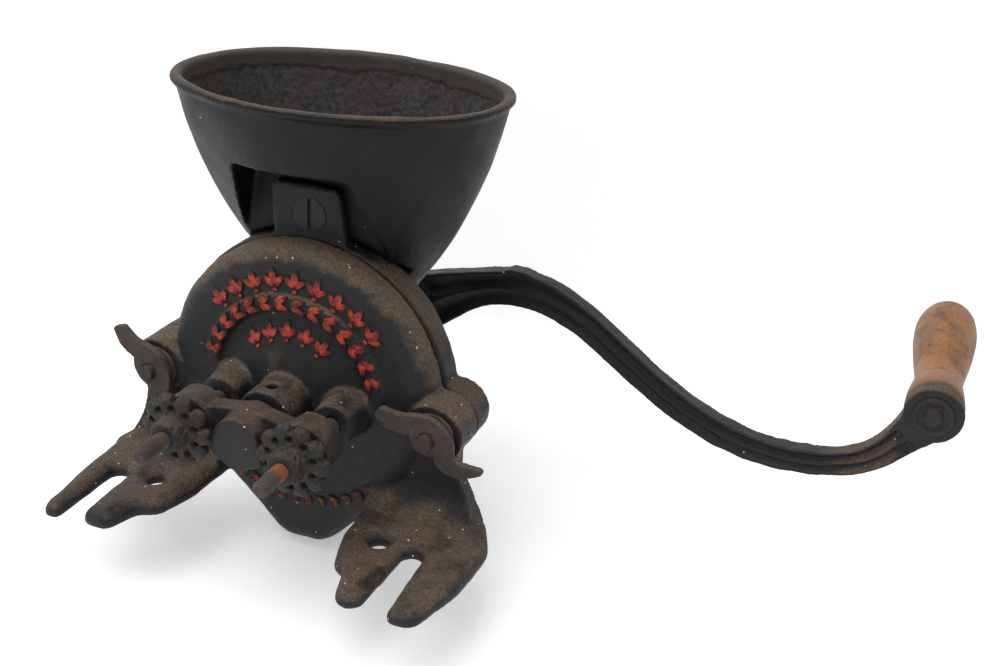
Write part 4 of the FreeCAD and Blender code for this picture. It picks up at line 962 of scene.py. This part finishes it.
worn = 0.0002 * unit_waves(wear, 0.03, 101) - 0.0002
worn *= rising(np.linalg.norm(off, axis=1), 0.010, 0.003)
wear[:, [0, 2]] += off / np.linalg.norm(off, axis=1, keepdims=True) * worn[:, None]
place_points(grip_mesh, wear)
grip = finish_mesh("turned_grip", grip_mesh, "grip", ["grip"])
grip.data.materials.append(material)

# Table and backdrop: one white sheet that lies under the mill and rises behind it, square to the camera. It
# goes on flat behind its rise, and its back is clear, so that the mill can be looked at from behind.
floor_z = -0.0404
wall_from, wall_to = np.array([-0.038, 0.347]), np.array([0.392, 0.534])
wall_along = (wall_to - wall_from) / np.linalg.norm(wall_to - wall_from)
wall_back = np.array([-wall_along[1], wall_along[0]])
quarter = np.linspace(0, np.pi / 2, 13)
bend, sheet_deep, sheet_tall, sheet_half = 0.02, 2.6, 2.4, 2.5
profile = np.concatenate([
    [[-sheet_deep, 0.0]], np.stack([-bend + bend * np.sin(quarter), bend - bend * np.cos(quarter)], 1),
    [[0.0, sheet_tall], [-bend, 0.0], [sheet_deep, 0.0]]])
sheet = np.empty((len(profile), 2, 3))
for column, reach in enumerate((-sheet_half, sheet_half)):
    sheet[:, column, :2] = wall_from + wall_along * reach + wall_back * profile[:, :1]
    sheet[:, column, 2] = floor_z + profile[:, 1]
index = np.arange(len(profile) * 2).reshape(-1, 2)
quads = np.stack([index[:-1, 0], index[:-1, 1], index[1:, 1], index[1:, 0]], 1)
quads = np.delete(quads, len(profile) - 3, axis=0)
backdrop_mesh = bpy.data.meshes.new("backdrop")
backdrop_mesh.from_pydata(sheet.reshape(-1, 3).tolist(), [], quads.tolist())
backdrop_mesh.polygons.foreach_set("use_smooth", np.ones(len(quads), bool))
backdrop = show("backdrop", backdrop_mesh)
material, tree, shader = new_material("white sheet")
seen = add(tree, "LightPath").outputs
watched = calc(tree, "MAXIMUM", seen["Is Glossy Ray"], seen["Is Transmission Ray"])
watched = calc(tree, "MAXIMUM", seen["Is Camera Ray"], watched)
height = split_xyz(tree)["Z"]
stripes = times(tree, calc(tree, "SINE", times(tree, height, 1250.0)), 0.02)
stripes = times(tree, stripes, rise(tree, height, -0.02, 0.0))
wire(tree, shader, Base_Color=(0.88, 0.88, 0.89, 1.0), Roughness=0.8, Emission_Color=(1.0, 1.0, 1.0, 1.0),
     Emission_Strength=times(tree, watched, plus(tree, stripes, 0.36)),
     Alpha=minus(tree, 1.0, add(tree, "NewGeometry").outputs["Backfacing"]))
backdrop_mesh.materials.append(material)

# Soft studio light: a bright room and one large lamp high above, a little to the left of the camera.
world = bpy.data.worlds.new("studio")
bpy.context.scene.world = world
world.use_nodes = True
wire(world.node_tree, world.node_tree.nodes["Background"], Color=(1.0, 1.0, 1.0, 1.0), Strength=0.5)
lamp_data = bpy.data.lights.new("large soft lamp", "AREA")
lamp_data.shape = "RECTANGLE"
lamp_data.size, lamp_data.size_y = 1.6, 1.2
lamp_data.energy = 18.5
lamp = show("large soft lamp", lamp_data)
lamp.location = (-0.25, -0.35, 1.5)
lamp.rotation_euler = (Vector((0.1, 0.1, 0.0)) - lamp.location).to_track_quat("-Z", "Y").to_euler()

# Camera at the photograph's angle: to the right of the adjusting nuts and above them, turned a little.
azimuth, elevation, roll = (math.radians(value) for value in (20.517, 25.358, 3.1))
flat = math.cos(elevation)
back = Vector((math.sin(azimuth) * flat, -math.cos(azimuth) * flat, math.sin(elevation)))
right = (-back).cross(Vector((0, 0, 1))).normalized()
up = right.cross(-back)
right, up = right * math.cos(roll) + up * math.sin(roll), up * math.cos(roll) - right * math.sin(roll)
# It stands off from the pan's middle by these shares of the pan's radius: to its right, up and back.
aim = Vector((0.0, 0.055, pan_centre_z))
pan_radius, aside, over, away = 0.086, 1.271, 0.280, 8.098
camera_data = bpy.data.cameras.new("camera")
camera_data.sensor_width = 36.0
camera_data.lens = 43.2
camera_data.clip_start = 0.01
camera = show("camera", camera_data)
placed = aim + pan_radius * (aside * right + over * up + away * back)
camera.matrix_world = Matrix.Translation(placed) @ Matrix((right, up, back)).transposed().to_4x4()
bpy.context.scene.camera = camera
bpy.context.scene.view_settings.view_transform = "Standard"
